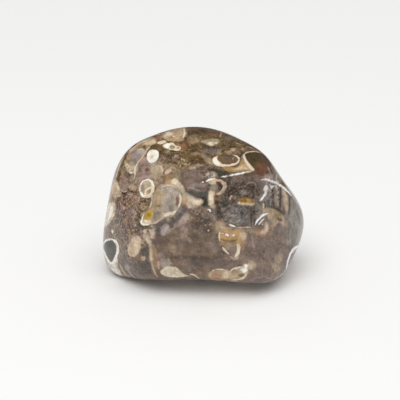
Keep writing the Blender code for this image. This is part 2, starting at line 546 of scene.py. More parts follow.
def wash(skin, outline, shade, feather, strength):
    """A patch of mineral that melts into the ground over a feather given in millimetres, and smooths it."""
    picked, distance = shape(skin, outline, uneven=0.16, ragged=0.12, margin=CLOSE + 2.0 * feather)
    share = ease(0.5 - distance / (2.0 * feather)) * strength
    skin.blend(("ground",), picked, shade, share)
    skin.value["speckle"][picked] *= 1.0 - 0.75 * share


def stroke(skin, path, width, shade, closed=False):
    """A wall cut edge-on: a line of a width in millimetres that thins to its ends."""
    picked, flat, laid = skin.flatten(spline(path, closed), 1.25 * CLOSE)
    gap, along = path_distance(flat, laid, closed)
    half = width / 2.0 * thinned(along, 0.0 if closed else 0.7)
    half = half * (1.0 + 0.25 * skin.uneven[picked] + 0.15 * skin.ragged[picked])
    skin.lay("shell", picked, gap - half, skin.palette[shade])


def band(skin, path, width, shade, strength):
    """A soft-edged line of mineral."""
    picked, flat, laid = skin.flatten(spline(path, False), width * 1.5)
    gap, along = path_distance(flat, laid, False)
    half = np.maximum(width / 2.0 * thinned(along, 0.5), 0.02)
    skin.blend(("ground", "patch", "fill"), picked, shade, ease(1.25 - gap / half * 0.75) * strength)


def cloud(skin, place, size, power=1.0):
    """How much a soft oval around a place of the picture covers each point that shows, from 0 to 1."""
    away = (skin.picture - np.asarray(place, float)) / np.asarray(size, float)
    out = np.hypot(away[:, 0], away[:, 1]) + 0.3 * skin.uneven + 0.25 * skin.ragged
    return power * ease(1.6 - out) * ease(skin.towards / 0.15)


def tint(skin, place, size, shade, strength, layers=("ground",)):
    """A soft cloud of colour in the ground, strongest at its middle."""
    share = cloud(skin, place, size, strength)
    picked = np.flatnonzero(share > 0.0)
    skin.blend(layers, picked, shade, share[picked])


def stain(skin, place, size, shade, strength):
    """A soft cloud of colour in everything but the shell walls."""
    tint(skin, place, size, shade, strength, ("ground", "patch", "fill"))


def grain(skin, place, size, amount, name="speckle"):
    """How speckled the ground is around a place of the picture."""
    share = cloud(skin, place, size)
    skin.value[name] = skin.value[name] * (1.0 - share) + amount * share


def dull(skin, place, size, amount):
    """How unpolished the surface is around a place of the picture."""
    grain(skin, place, size, amount, "rough")


def ring(skin, place, size, width, shade):
    """A small round shell cut across."""
    stroke(skin, oval(place, size, 8), width, shade, True)


def dot(skin, place, size, shade):
    """A small solid grain."""
    flake(skin, oval(place, size, 6), shade)


# The markings of the front, from the ground up. Places are in points of the picture, across and down;
# widths and feathers are in millimetres. Each row is a name, a kind and that kind's values in order, and
# a line's places follow one another: across, down, across, down.
GROUND_MARKINGS = (
    # Broad colours of the silica
    ("left side", tint, (125, 212), (34, 60), "ooze", 0.9),
    ("left side, reddish", tint, (128, 203), (12, 9), "rose", 0.35),
    ("smooth brown left", tint, (126, 218), (10, 5), "umber", 0.4),
    ("smooth patch left", grain, (126, 217), (11, 5), 0.3),
    ("lilac by rings", tint, (134, 214), (3.4, 5), "lilac", 0.45),
    ("lower left", tint, (122, 258), (26, 26), "ooze", 0.8),
    ("top", tint, (190, 150), (72, 24), "golden", 0.9),
    ("top right", tint, (236, 143), (30, 10), "hazel", 0.35),
    ("lilac around ring", tint, (147, 172), (13, 17), "rose", 0.95),
    ("lower front", tint, (190, 248), (46, 36), "chocolate", 1),
    ("lower right", tint, (268, 255), (38, 40), "mauve", 1),
    # Painted reflection: the pale cool veil along the right edge
    ("right edge", tint, (295, 221), (10, 24), "ash", 1),
    ("right edge's dark line", band, (296.5, 211, 298.5, 217, 299.5, 224), 0.8, "pine", 0.8),
    ("right edge's second dark line", band, (290.5, 199, 293, 207, 294, 215), 0.5, "moss", 0.6),
    ("smooth right edge", grain, (296, 222), (10, 26), 0.1),
    ("middle band", tint, (197, 179), (32, 13), "mauve", 0.9),
    ("pit wall", tint, (240, 186), (24, 13), "umber", 0.75),
    # Partly blue-grey chalcedony, partly a painted reflection of the sky on the pit floor
    ("pit floor", tint, (240, 214), (22, 12), "smoke", 0.9),
    ("hollow right", tint, (275, 196), (15, 15), "lilac", 0.95),
    ("speckle left", grain, (128, 212), (32, 52), 1.1),
    ("strong speckle left", grain, (126, 232), (17, 9), 1.5),
    ("speckle on top", grain, (190, 152), (64, 20), 0.55),
    ("smooth by ring", grain, (147, 172), (13, 15), 0.15),
    ("smooth lens", grain, (196, 179), (18, 9), 0.12),
    ("smooth lower front", grain, (195, 252), (42, 30), 0.2),
    ("smooth lower right", grain, (270, 256), (34, 34), 0.3),
    ("broken pit", dull, (240, 200), (26, 24), 0.55),
    # Clouds and stains of the left
    ("olive line inside left edge", band, (122, 166, 120.5, 172, 119, 179, 119, 186), 0.7, "olive", 0.6),
    ("brown under shoulder", tint, (122.6, 164), (3, 9), "tan", 0.55),
    ("pale right of blob", tint, (131, 184.5), (3, 5), "sand", 0.5),
    ("smooth by blob", grain, (133, 180), (7, 10), 0.35),
    ("pale streaks by blob", band, (132.5, 175, 132, 180, 131.5, 186), 0.6, "pearl", 0.6),
    ("second pale streak", band, (137.5, 176, 136, 184, 135, 190), 0.6, "pearl", 0.55),
    ("dark gap under blob", tint, (128, 192.5), (5.5, 2.6), "coffee", 0.9),
    ("tan bit under gap", tint, (130, 194), (2.4, 1.8), "sand", 0.8),
    ("red-brown cloud", tint, (130, 200.5), (5, 3), "maroon", 0.4),
    ("red-brown ring cloud", tint, (123.5, 211), (4.2, 4.2), "maroon", 0.3),
    ("pink flecks", tint, (124.5, 207.5), (3, 1.3), "blush", 0.6),
    ("dark by edge", tint, (108, 230), (3.5, 6), "wine", 0.45),
    ("red-brown under rings", tint, (125, 229), (14, 5), "maroon", 0.45),
    ("gold flecks left", tint, (117, 233), (3, 5), "golden", 0.5),
    ("olive fleck", tint, (114, 231), (2, 7), "moss", 0.5),
    ("dark middle of ring cloud", tint, (116.5, 221.5), (2.2, 2.6), "coffee", 0.7),
    ("dark green by amber", band, (139.5, 213, 138.5, 220, 140, 226), 0.6, "pine", 0.7),
    ("dark under tip", tint, (143, 227), (5, 2), "pine", 0.6),
    ("maroon under oval", tint, (136, 258), (4, 2), "maroon", 0.9),
    ("grey-green right of oval", tint, (146, 251), (4, 5.5), "pine", 0.85),
    ("violet right of oval", tint, (146.5, 263), (4, 6), "slate", 0.6),
    ("slate foot", tint, (139, 268), (11, 7), "slate", 0.75),
    ("brown right of tall stroke", band, (157.5, 250, 158.4, 258,
        158.8, 266, 160.4, 274), 0.9, "wine", 0.35),
    # Clouds of the middle
    ("dark top edge", tint, (195, 131.5), (13, 3), "umber", 0.8),
    ("maroon top edge", tint, (213, 134), (7, 2.6), "maroon", 0.6),
    ("rust spot", wash, (177, 140.8, 181, 139.4, 187, 138.8, 191.5, 140.5, 190, 144.6, 183, 146.4,
        177.5, 145), "rust", 0.35, 0.65),
    ("pink-grey spot", wash, (187, 137, 191, 135, 197, 134.6, 199.5, 138, 197.5, 142, 191, 143.5,
        187.5, 141), "tan", 0.3, 0.55),
    ("brown by cap", tint, (173, 161.5), (6, 3.4), "coffee", 0.6),
    ("brown in gold", tint, (197, 160), (8, 4.2), "coffee", 0.55),
    ("brown over cap", tint, (172, 156), (13, 6), "umber", 0.35),
    ("slate right of gold", tint, (210, 150), (8, 4), "slate", 0.5),
    ("pale spot over eye", tint, (219, 153), (3, 2), "sand", 0.4),
    ("pink flecks right of gold", tint, (218, 150), (2.6, 1.3), "blush", 0.5),
    ("dark fleck in gold", tint, (190.5, 153), (2, 1.6), "coffee", 0.5),
    ("dark flecks under green oval", tint, (211, 147.3), (7, 2.2), "umber", 0.85),
    ("tan by rust", tint, (181, 147.5), (4, 3), "orange", 0.55),
    ("tan fleck in gold", tint, (195, 153.6), (4, 1.4), "sand", 0.5),
    ("first pale fleck in gold", tint, (167, 151.5), (2.4, 1.3), "sand", 0.8),
    ("second pale fleck in gold", tint, (176.5, 156), (2.6, 1.4), "sand", 0.45),
    ("sparkle in gold", tint, (183, 162), (4.4, 3), "moss", 0.5),
    ("speckle of sparkle", grain, (183, 162.5), (5.5, 4.5), 1.5),
    ("gold left of eye", wash, (202.6, 155.4, 206.5, 156.4, 210.5, 158.8, 213.6, 161.5, 214.5, 165.6,
        209, 164.8, 205.4, 160.6), "sand", 0.4, 0.85),
    ("bright gold left of eye", tint, (211, 162.4), (2.4, 2), "biscuit", 0.6),
    ("slate corner", wash, (207, 168.6, 214, 168.4, 224, 170.6, 228, 172.6, 222, 175.6, 215, 175.4,
        211, 172), "pine", 0.25, 0.95),
    ("pale green by corner", tint, (212, 174.6), (4.4, 2.6), "pearl", 0.85),
    ("speckle by corner", grain, (208, 174.5), (7, 4), 0.9),
    ("pale cloud by disc", tint, (156, 163.6), (5.4, 3), "pearl", 0.7),
    ("tan streak", band, (160.5, 165.6, 168, 166, 176, 166.6), 1.3, "tan", 0.7),
    ("green-grey by lobes", tint, (176.5, 175), (3.6, 4.6), "moss", 0.7),
    ("ochre over lobes", tint, (168.5, 178), (3, 4), "ochre", 0.55),
    ("lens's middle", tint, (194, 177), (9, 6), "rose", 0.45),
    ("lens's left", tint, (187, 177), (4, 4), "mauve", 0.8),
    ("slate by white edge", tint, (209.5, 187), (2.2, 3.4), "slate", 0.9),
    ("dark round the triangle", tint, (206, 199), (3.4, 6), "pine", 0.8),
    ("dark under triangle", wash, (180.5, 207, 187, 207, 186.5, 211.5, 183.5, 218, 179, 224.5, 174, 229.5,
        175.5, 222, 178.5, 214), "slate", 0.2, 0.9),
    ("dark under lobes", wash, (158, 226, 163, 220.6, 169, 217, 176, 213, 181, 213, 178, 221, 173, 228.5,
        166, 223.6), "slate", 0.2, 0.75),
    ("dark left of lilac lobe", tint, (157.5, 228), (4.4, 7), "slate", 0.85),
    ("dark below lilac lobe", tint, (163, 240), (8, 4.4), "coffee", 0.55),
    ("green bit under lobes", tint, (168.5, 219), (1.8, 2), "moss", 0.8),
    ("dark cluster on front", tint, (200, 220.5), (9, 5.6), "coffee", 0.8),
    ("speckle of dark cluster", grain, (199, 218), (12, 10), 0.75),
    ("second dark cluster", tint, (195, 226), (4, 2.6), "coffee", 0.5),
    ("dark ring on front", tint, (208, 230.5), (3.8, 4), "coffee", 0.9),
    ("pink cloud on front", tint, (184, 233), (3.4, 7), "blush", 0.5),
    ("pale fleck on front", tint, (189.8, 239.5), (1.6, 1.6), "sand", 0.6),
    ("lighter block on front", wash, (168.6, 245, 175.6, 245, 176, 252, 170, 252.4), "tan", 0.4, 0.45),
    ("olive cloud on front", tint, (201, 236), (9, 5), "hazel", 0.5),
    ("slate cloud on front", tint, (217, 263), (10, 4), "slate", 0.4),
    ("violet cloud on front", tint, (186, 261), (7, 3), "mauve", 0.6),
    ("grey-green cloud on front", tint, (187, 269), (4, 3), "ash", 0.4),
    ("first crack on front", band, (168, 251.5, 172, 253.5, 171, 258, 174, 262), 0.4, "coffee", 0.7),
    ("long shadow on front", band, (172, 257.5, 190, 257, 206, 258, 224, 256.5), 0.9, "coffee", 0.75),
    ("dark under long shadow", tint, (206, 261.5), (22, 2.6), "slate", 0.4),
    ("pale streak on front", band, (210, 242.5, 213.4, 247, 217, 253.4), 0.8, "lilac", 0.6),
    ("dark by V", tint, (219.5, 253), (4, 3), "umber", 0.8),
    ("grey over tan lens", tint, (165.5, 264), (5, 4), "pearl", 0.9),
    ("pink by tan lens", tint, (158.6, 264.5), (1.1, 3.6), "blush", 0.9),
    ("rose right of tall stroke", tint, (161, 255.5), (3, 2.4), "rose", 0.6),
    # Clouds of the right
    ("streaked brown on top right", band, (222, 145, 232, 145.5, 246, 150), 0.8, "coffee", 0.5),
    ("grey fleck on top right", tint, (228, 138), (4, 1.4), "smoke", 0.7),
    ("dark olive in pit", tint, (254, 188), (4.6, 6), "coffee", 0.7),
    ("dark left of pit", band, (216, 197, 217.5, 207, 220.5, 215, 225.5, 221.5), 0.9, "coffee", 0.95),
    ("teal in pit", tint, (223.5, 202), (3.6, 5.6), "pine", 0.9),
    ("dark above gold ledge", band, (240, 196, 247, 195.3, 255, 197), 0.6, "coffee", 0.85),
    ("dark arc in pit", band, (228.5, 194, 231.5, 190.5, 236, 190.5, 240, 194), 0.6, "coffee", 0.85),
    ("olive wedge", tint, (234, 198), (3.4, 3), "tan", 0.8),
    ("grey fleck in pit", tint, (243.5, 192.5), (4.4, 2), "pearl", 0.6),
    ("small grey fleck in pit", tint, (256.4, 196.2), (1.8, 1.4), "pearl", 0.8),
    ("mauve streak in pit", band, (240, 178, 238, 186, 239, 192), 0.5, "slate", 0.5),
    ("pit's right crack", band, (251, 206, 251.3, 214, 251.6, 226), 0.4, "coffee", 0.95),
    ("pit's second crack", band, (254.3, 206, 254.5, 214, 254, 225), 0.4, "coffee", 0.8),
    ("pale flecks on pit floor", tint, (235, 219.5), (6, 3), "ash", 0.5),
    ("grey right of pit", tint, (258.5, 208), (3.4, 5), "ash", 0.7),
    ("grey lower right of pit", tint, (259, 215.5), (3.6, 3.4), "pearl", 0.5),
    ("dark right of glint", tint, (267, 203.5), (4, 3.6), "slate", 0.8),
    ("hollow's pale streak", band, (276, 185.5, 276.4, 194, 277.8, 204), 1.1, "cream", 0.75),
    ("hollow's lilac streak", band, (268.5, 189, 269.5, 196, 270.5, 203), 0.9, "pearl", 0.8),
    ("hollow's dark streak", band, (280.5, 187, 280, 197, 280, 208), 0.7, "coffee", 0.8),
    ("hollow's second dark streak", band, (272.6, 189, 273, 198, 273.6, 207), 0.6, "coffee", 0.75),
    ("hollow's outer dark streak", band, (289, 197, 289.5, 205, 289, 214), 0.6, "slate", 0.7),
    ("hollow's tan streak", band, (283.4, 190.5, 285, 197, 286, 204, 286.8, 212), 1.15, "buff", 0.95),
    ("orange-brown by tan blob", tint, (258.5, 230.6), (4.6, 3), "ochre", 0.7),
    ("brown by tan blob", tint, (259, 228), (3.6, 3), "umber", 0.7),
    ("tan on lower right", tint, (279, 258), (3.4, 4), "tan", 0.8),
    ("tan at right foot", wash, (271, 262, 275, 264, 279, 266,
        280, 270, 276, 272, 272.6, 268), "sand", 0.3, 0.8),
    ("dark left of right wall", tint, (290.5, 248), (3, 3), "umber", 0.6),
    ("grey streak on lower right", band, (252, 237, 253.5, 243, 254, 249), 0.5, "rose", 0.8),
    ("ochre right of V", band, (246, 238, 243.5, 244, 241.6, 250), 0.8, "orange", 0.5),
    ("dark on lower right", tint, (275, 231.5), (3, 2), "slate", 0.6),
    ("dark foot", tint, (250, 284), (24, 3), "umber", 0.4),
)

MARKINGS = (
    # Left edge
    # Painted highlight: a pale line along the left rim
    ("pale left edge", stroke, (124.4, 156, 121.4, 161.5, 119, 167, 116.9, 174, 114.9, 181), 0.55, "cream"),
    ("dark beside pale left edge", band, (127, 154.5, 123.6, 160.5,
        121.4, 167, 119.4, 174), 0.9, "umber", 0.7),
    ("cream left edge", wash, (115, 179, 118.5, 184, 120.5, 190, 121, 194.5, 117, 197.5, 112.5, 197,
        110.5, 192, 112, 186), "buff", 0.2, 0.95),
    ("yellow left edge", tint, (110.5, 189), (2.6, 9), "ochre", 0.6),
    ("pale line left edge", band, (116, 181, 117.4, 185.5, 119.4, 190), 0.5, "cream", 0.7),
    ("tan above sliver", wash, (110, 192, 113.5, 194, 114.5, 200, 113, 205, 109.5, 206, 108, 199),
        "cinnamon", 0.3, 0.55),
    ("pink sliver", wash, (109, 203.5, 112.4, 202, 115.6, 205.5, 115.3, 212, 112.6, 218, 109.4, 222.5,
        105, 226, 103.5, 222, 105, 214, 107, 208), "biscuit", 0.3, 1),
    # Partly the sliver's own white shell, partly a painted highlight
    ("sliver's shell", flake, (110.9, 205.4, 113.2, 207, 113, 211.4, 111, 216.4, 108, 221.4, 108.4, 215.6,
        109.4, 210), "white"),
    ("white fleck left", flake, (111.3, 230, 112.8, 229.6, 113.3, 232, 112.3, 233.4), "white"),
    # Fossil at the bottom left
    ("left foot", chamber, (101.5, 247, 104, 241, 108, 238.6, 113.5, 238.6, 117, 241, 119, 246, 119, 252,
        117.3, 258, 115, 263, 110.5, 264, 106.5, 259, 103.5, 253), (103, 246.5, 105, 242.5, 108, 240.8,
        112, 240.5, 115, 242.5, 116.7, 246.5, 116.1, 252, 114.1, 257, 111.3, 261.9, 109.3, 260,
        106.8, 255.5, 104.8, 250.5), "white", "pine"),
    ("left foot, olive above", stain, (107.6, 244), (5, 3.6), "bottle", 1),
    ("left foot, slate middle", stain, (111, 254.5), (3.4, 6), "slate", 0.8),
    ("left foot, pale below", wash, (107, 258, 112.3, 261.5, 117, 257, 118, 262, 118.8, 267, 120.4, 272,
        122, 276, 117, 274.4, 112, 271, 108, 265), "white", 0.2, 0.75),
    ("left foot, grey seam", band, (104.5, 254, 107.5, 261, 111, 268), 0.4, "pearl", 0.8),
    ("left foot, thin wall", stroke, (103, 250, 106, 258, 108, 264, 113, 271), 0.3, "white"),
    # Upper left
    ("long chamber, shoulder", wash, (125.5, 160, 128, 163.5, 131, 165.5, 137, 163.5, 137.3, 168,
        135.6, 173, 131, 173.5, 127.5, 170.5, 125, 166), "biscuit", 0.14, 0.85),
    ("long chamber, gold", wash, (131.5, 150.3, 134.5, 146.8, 138.6, 144.4, 144, 142.6, 148, 143.2,
        147, 146.2, 143, 148, 138.5, 148.2, 134.6, 150.3), "ochre", 0.14, 0.95),
    ("long chamber, brown", band, (136, 147.8, 140, 146.2, 144.6, 145.2), 0.5, "orange", 0.6),
    ("long chamber, dark corner", tint, (145.2, 146.6), (2, 1.8), "coffee", 0.9),
    ("long chamber, lilac", hollow, (129, 158.5, 129.8, 154, 132, 150.5,
        135.5, 149.3, 140, 148.3, 143.5, 149.5, 144.3, 152.5, 142, 156.5,
        138.8, 160.3, 135.5, 163.5, 131.3, 164.3, 129.2, 162), "lilac"),
    ("long chamber, pink above", stain, (133.4, 152.6), (3, 2.6), "rose", 0.7),
    ("long chamber, dark below", stain, (132.5, 160.5), (4, 3.4), "smoke", 0.7),
    ("long chamber, pale right", stain, (141.6, 151.6), (3.4, 3), "pearl", 1),
    ("long chamber, pale line", band, (137.5, 149.5, 141, 148.6, 144, 150.6), 0.4, "biscuit", 0.8),
    ("long chamber, peach rim", wash, (126.4, 160, 127.4, 155.6, 130.4, 151, 134, 148, 138.6, 146.6,
        135, 149.4, 131, 151.8, 129, 155.6, 128.4, 160), "peach", 0.25, 0.9),
    ("long chamber, bright rim", tint, (131.8, 149.8), (3, 2.4), "biscuit", 0.8),
    ("long chamber, cream edge", stroke, (128.6, 153.4, 132.4, 148.8,
        136.4, 145.2, 141, 142.6, 147, 140.4), 0.5, "cream"),
    ("cream seam", stroke, (152, 144, 148.6, 147, 145.6, 152, 142, 157.2, 138.6, 161.3, 136, 165.5,
        134.9, 171, 134.8, 175.5, 133.5, 180), 0.62, "buff"),
    ("cream seam's bright part", stroke, (136.6, 164, 135, 168.5, 134.8, 174), 0.56, "cream"),
    ("small cream arc", stroke, (129, 171.5, 131.5, 172.6, 133.6, 171.6), 0.34, "white"),
    ("red-brown blob", wash, (120.5, 176, 124, 175, 127, 178.5, 128.5, 185, 127, 190.5, 122.5, 190.5,
        120, 186, 119.5, 180), "rose", 0.15, 0.95),
    ("blob, orange above", tint, (121.8, 178.5), (2.2, 3.6), "orange", 0.35),
    ("blob's foot", stroke, (120.5, 189, 123.5, 191.6, 128, 190.5), 0.36, "buff"),
    ("ochre top", wash, (142.5, 141, 146.5, 138.6, 152.5, 137, 157, 138.8, 155.5, 142.3, 151.5, 145,
        147, 144.6), "sand", 0.14, 1),
    ("ochre top's heart", tint, (151, 141.4), (4, 2), "ochre", 0.6),
    ("orange top", wash, (155, 137, 160, 135.3, 163, 137, 160, 139.8, 156, 139.5), "orange", 0.2, 0.9),
    ("edge line on top left", stroke, (150, 136.9, 156, 135, 163, 133.2), 0.36, "biscuit"),
    ("white disc", flake, (153, 149.4, 156.5, 150, 159, 153, 158.8, 156.5, 156.8, 160.5, 152.5, 162.8,
        148.8, 161.8, 146.9, 158.5, 147, 154, 149.2, 150.6), "white"),
    ("disc's curl", stroke, (152.6, 155.5, 151.5, 157.5, 150.2, 159), 0.3, "biscuit"),
    ("dark fleck by disc", wash, (145.8, 168.8, 148, 167.6, 150, 168.8,
        148.5, 170.8, 146.2, 170.8), "rust", 0.15, 0.95),
    ("dark spot by disc", tint, (140, 170.3), (1.4, 1.6), "umber", 0.7),
    ("pink fleck by disc", tint, (143, 158.5), (2, 2.4), "blush", 0.5),
    ("green-grey blob", wash, (151.5, 167.5, 155, 165.2, 160, 166.3, 162.5, 171, 161, 176.3, 155.5, 177.3,
        151.6, 175, 150.8, 171), "sand", 0.12, 0.9),
    ("green-grey blob, grey above", tint, (155, 167.5), (5, 2.4), "ash", 0.75),
    ("green-grey blob's edge", band, (157, 165.6, 160.8, 166.6, 162.4, 170.5, 162, 175), 0.36, "buff", 0.9),
    # Top
    ("tan cap", wash, (163.5, 133, 168, 130.3, 176, 128.6, 184, 127.8, 186.5, 131, 185, 137, 181, 141,
        175, 141, 168.5, 140.5, 163.5, 138), "sand", 0.2, 0.9),
    ("tan cap, gold", band, (167.5, 139, 171.5, 137, 176.5, 135.6), 0.9, "ochre", 0.8),
    ("tan cap, pink", tint, (166.5, 134.4), (4, 3), "biscuit", 0.9),
    ("tan cap, white fleck", wash, (165, 132.4, 170, 132, 173, 134.2, 169, 135.4), "cream", 0.2, 0.9),
    ("tan cap, gold fleck", flake, (172.5, 135.6, 175.5, 135.8, 175, 137.2, 172.5, 137), "biscuit"),
    ("tan cap, end", stroke, (184, 129.3, 184.6, 132.5, 183.8, 136, 182, 138.5), 0.44, "cream"),
    ("edge line on top", stroke, (166, 131.6, 175, 129.4, 187, 128), 0.4, "biscuit"),
    ("white bit", flake, (157, 142.6, 160.5, 140.8, 164.5, 140.2,
        166.6, 141.4, 164.5, 143, 160, 144.2), "cream"),
    ("second white bit", flake, (162.5, 145.8, 164.6, 143.6, 168.5, 142.5, 173, 142.4, 176.4, 145.2,
        181, 146.8, 181, 149, 177.4, 150.6, 170.6, 149.6, 166, 148.4), "cream"),
    ("second white bit's bright left", flake, (163.4, 145.8, 166, 143.8, 170, 143.4, 170.6, 146,
        167, 147.6), "white"),
    ("green-grey square", hollow, (170.2, 145.8, 173.8, 145.4, 174.6, 147.6, 171, 148.6), "moss"),
    ("fleck by square", hollow, (176.6, 147.2, 178.8, 147, 179, 148.4, 177.2, 148.8), "sand"),
    ("green oval, left part", wash, (201.5, 142, 204.5, 139.4, 210, 138.8, 217, 138.8, 220, 141, 217.5, 144,
        213.5, 145.5, 207, 144.6), "moss", 0.12, 1),
    ("green oval", wash, (206.5, 142.6, 210, 141.6, 214, 142, 218.6, 141.4, 217, 143.8, 213.5, 145.2,
        209, 144.6), "cream", 0.12, 0.9),
    ("green oval's bright left", tint, (205.6, 141.6), (2.6, 1.6), "buff", 0.6),
    ("fleck on top", dot, (201, 136.5), 0.8, "sand"),
    ("second fleck on top", dot, (220, 136.6), 0.9, "sand"),
    ("third fleck on top", dot, (200.8, 147), 0.9, "sand"),
    ("cream spot on top right", wash, (230, 148.3, 234.5, 148,
        235.3, 150.8, 231.5, 151), "biscuit", 0.15, 0.9),
    ("tan spot on top right", tint, (243.5, 149.5), (2.6, 1.6), "sand", 0.6),
    # Painted highlight: thin pale lines along the top right rim
    ("first line on top right", stroke, (234, 142, 237.5, 143.3, 241.5, 144.4), 0.26, "pearl"),
    ("second line on top right", stroke, (245.5, 145.6, 249, 146.8, 253, 148.4), 0.3, "pearl"),
    # Eye over the ridge
    ("gold under eye", wash, (222, 167, 234, 167, 240, 164.5, 245.5, 160.5, 250, 167, 253, 170.3,
        246, 171.3, 238, 171.8, 229, 171.5), "ochre", 0.15, 0.8),
    ("gold right of eye", wash, (236, 169.4, 240, 164.6, 241.5, 158, 243.5, 155.5, 246, 161, 250.5, 168,
        246, 170), "biscuit", 0.14, 0.6),
    ("yellow right of eye", tint, (242, 164), (2.6, 4), "ochre", 0.9),
    ("pale line under eye", band, (234, 169.8, 240, 167.6, 244.5, 163.5), 0.36, "biscuit", 0.7),
    ("eye", chamber, (212.3, 160, 213.8, 157, 219, 155.4, 225, 154.8, 231, 154.6, 236, 154.8, 239.2, 157,
        240, 160.3, 238, 163.4, 233, 165.6, 227, 166.5, 219, 166.2, 214.3, 164.3), (217.4, 158.2,
        219.5, 155.3, 225, 154.6, 231, 154.5, 235.8, 156, 238, 158.6, 237, 161, 232.8, 163.2, 227, 164.2,
        221.6, 163.2, 218.8, 160.8), "cream", "hazel"),
    ("eye, dark top", stain, (227, 155), (5, 1.5), "umber", 0.8),
    ("eye, mauve right", stain, (232.5, 161), (4, 3), "maroon", 0.35),
    ("eye, curl", stroke, (236.5, 156.3, 233.4, 157.4, 232.8, 159.6, 234, 161.6), 0.26, "lilac"),
    ("eye, white corner", flake, (212.8, 160.2, 215.3, 158.4, 217.6, 159, 218.2, 161.6, 220.5, 163.8,
        218.5, 165.6, 215, 164.2), "white"),
    # Arch at the top right
    ("dark olive right of arch", wash, (262, 156, 268, 157, 274, 165, 281, 177, 287, 187.5, 283, 186,
        276, 181, 269, 173, 264, 165), "hazel", 0.2, 0.85),
    ("arch, filling", hollow, (244.5, 155.8, 248, 152.8, 254, 152.2, 261, 153.3, 265.5, 155.8, 269.5, 161,
        270.5, 166, 268.5, 172, 264, 175.5, 258.5, 175, 254.6, 170.6, 251, 165.8, 247.3, 161.3), "umber"),
    ("arch, dark top", stain, (252, 157.5), (7, 5), "olive", 0.6),
    ("arch, maroon foot", stain, (261, 169), (5.2, 4.8), "wine", 0.55),
    ("arch, top wall", stroke, (243.2, 155, 246, 152.6, 250.5, 151.4,
        255, 151.3, 260, 152.3, 266, 155), 0.34, "cream"),
    ("arch, left wall", flake, (243, 154.6, 244.8, 155, 246.4, 159, 249.6, 163.5, 252.8, 167, 254.6, 170,
        252, 170.5, 248.4, 167, 245.3, 162, 243.5, 158.4), "cream"),
    ("right of arch, dark edge", band, (267, 156, 271.5, 162,
        276.5, 170, 281, 178, 286.5, 186.5), 1.1, "olive", 0.8),
    ("right of arch, pale streak", band, (267.5, 166.5, 269.8, 171.5, 272.6, 178), 0.6, "pearl", 0.75),
    ("right of arch, second pale streak", band, (264, 173, 267, 177, 270, 179.6), 0.6, "lilac", 0.8),
    ("pink-grey under arch", tint, (262.5, 176.4), (7, 2.8), "blush", 0.75),
    ("mauve under arch", tint, (258, 178), (6, 3), "mauve", 0.8),
    # Ridge and the hollow on its right, with painted highlights along their edges and painted glints by the
    # pit
    # Painted highlight along the ridge's edge, over a raised lip
    ("ridge's edge", stroke, (220.5, 177, 229, 175.6, 235.5, 174.2,
        243, 172.7, 248.5, 171.5), 0.4, "chalk"),
    # Painted highlight, fading out at the ridge's end
    ("ridge's faint end", band, (246, 172, 249.6, 171.3, 252.6, 170.6), 0.3, "cream", 0.8),
    # Painted highlight along the hollow's rim, over a raised lip
    ("hollow's edge", stroke, (259, 179.6, 265, 179.4, 270.5, 180.6, 276.5, 183, 283, 187.2, 288, 191.6,
        291.5, 195.4), 0.48, "chalk"),
    ("hollow's white blob", stroke, (271, 188.5, 271.6, 186, 273.6, 185.2), 0.34, "white"),
    # Painted glints by the pit: the head, the upper and lower glints, the upper glint's tail flecks and the
    # second line
    ("glint's head", flake, (264.6, 186, 267.2, 185.2, 268.3, 188.5, 267.3, 192, 265.3, 192.4,
        264.2, 189.5), "chalk"),
    ("upper glint by the pit", stroke, (266.8, 190.5, 265, 194.2, 262.6, 197.8, 259.6, 201), 0.5, "chalk"),
    ("flecks under upper glint", stroke, (262.6, 202.5, 263.6, 205.5, 263.2, 208.5), 0.34, "biscuit"),
    ("lower glint by the pit", stroke, (268.5, 213, 263.8, 214.6,
        260.2, 217.6, 257, 221, 255, 224.6), 0.48, "chalk"),
    ("second line by lower glint", stroke, (264.5, 218, 261.4, 221, 258.6, 224.5), 0.36, "white"),
    ("flecks by lower glint", stroke, (257, 213.5, 259.6, 212, 262.5, 211.6), 0.3, "ash"),
    ("speckle by lower glint", stain, (262, 214), (3, 2), "pearl", 0.5),
    # Pit
    ("gold ledge", patch, (237.6, 202.4, 239.8, 199.2, 243, 197.9, 251, 198.5, 254.3, 200.2, 254.6, 203.6,
        252.6, 205.9, 246.4, 205.3, 240, 204.3), "ochre"),
    ("gold ledge, dark heart", stain, (243.5, 200.4), (4, 1.5), "gold", 1),
    ("gold ledge, dark right", stain, (252.5, 201), (1.6, 2.2), "umber", 0.5),
    ("gold ledge, head", flake, (237.4, 202.4, 239.4, 201, 240.6, 202.6, 239.2, 204), "biscuit"),
    ("gold ledge, upper edge", band, (240, 199.3, 245, 197.9, 252, 198.6), 0.3, "cinnamon", 0.9),
    ("gold ledge, lower edge", band, (239, 203.6, 245, 204, 250, 204, 254, 203.8), 0.42, "biscuit", 1),
    ("wedge's edge", stroke, (232.2, 195, 230.6, 197, 230, 200.8), 0.26, "biscuit"),
    # Painted highlight along the pit's lower lip and its faint continuation
    ("pit's lower lip", stroke, (228.5, 224.2, 232, 225.2, 235.5, 226.6), 0.36, "white"),
    ("pit's lower line", stroke, (236, 227, 243, 227.2, 251, 227), 0.26, "biscuit"),
    ("pit's left line", band, (213.8, 206.5, 214.2, 213, 214.8, 221), 0.26, "lilac", 0.9),
    # Rim on the left of the pit
    ("rim, tan patch", wash, (207.5, 181, 211, 179.3, 216, 178.8, 216.6, 182.5, 213, 184.6, 209.5, 183.8),
        "biscuit", 0.12, 1),
    # Painted highlight along the rim's edge
    ("rim, white edge", stroke, (205.8, 181.2, 209.3, 179.6, 214.6, 178.2), 0.42, "chalk"),
    ("rim, grey heart", wash, (209, 185.8, 217, 184.5, 218.4, 187,
        215.8, 190.3, 210, 189.3), "pearl", 0.14, 0.5),
    ("rim, dark heart", tint, (220.3, 187), (2.2, 3), "coffee", 0.9),
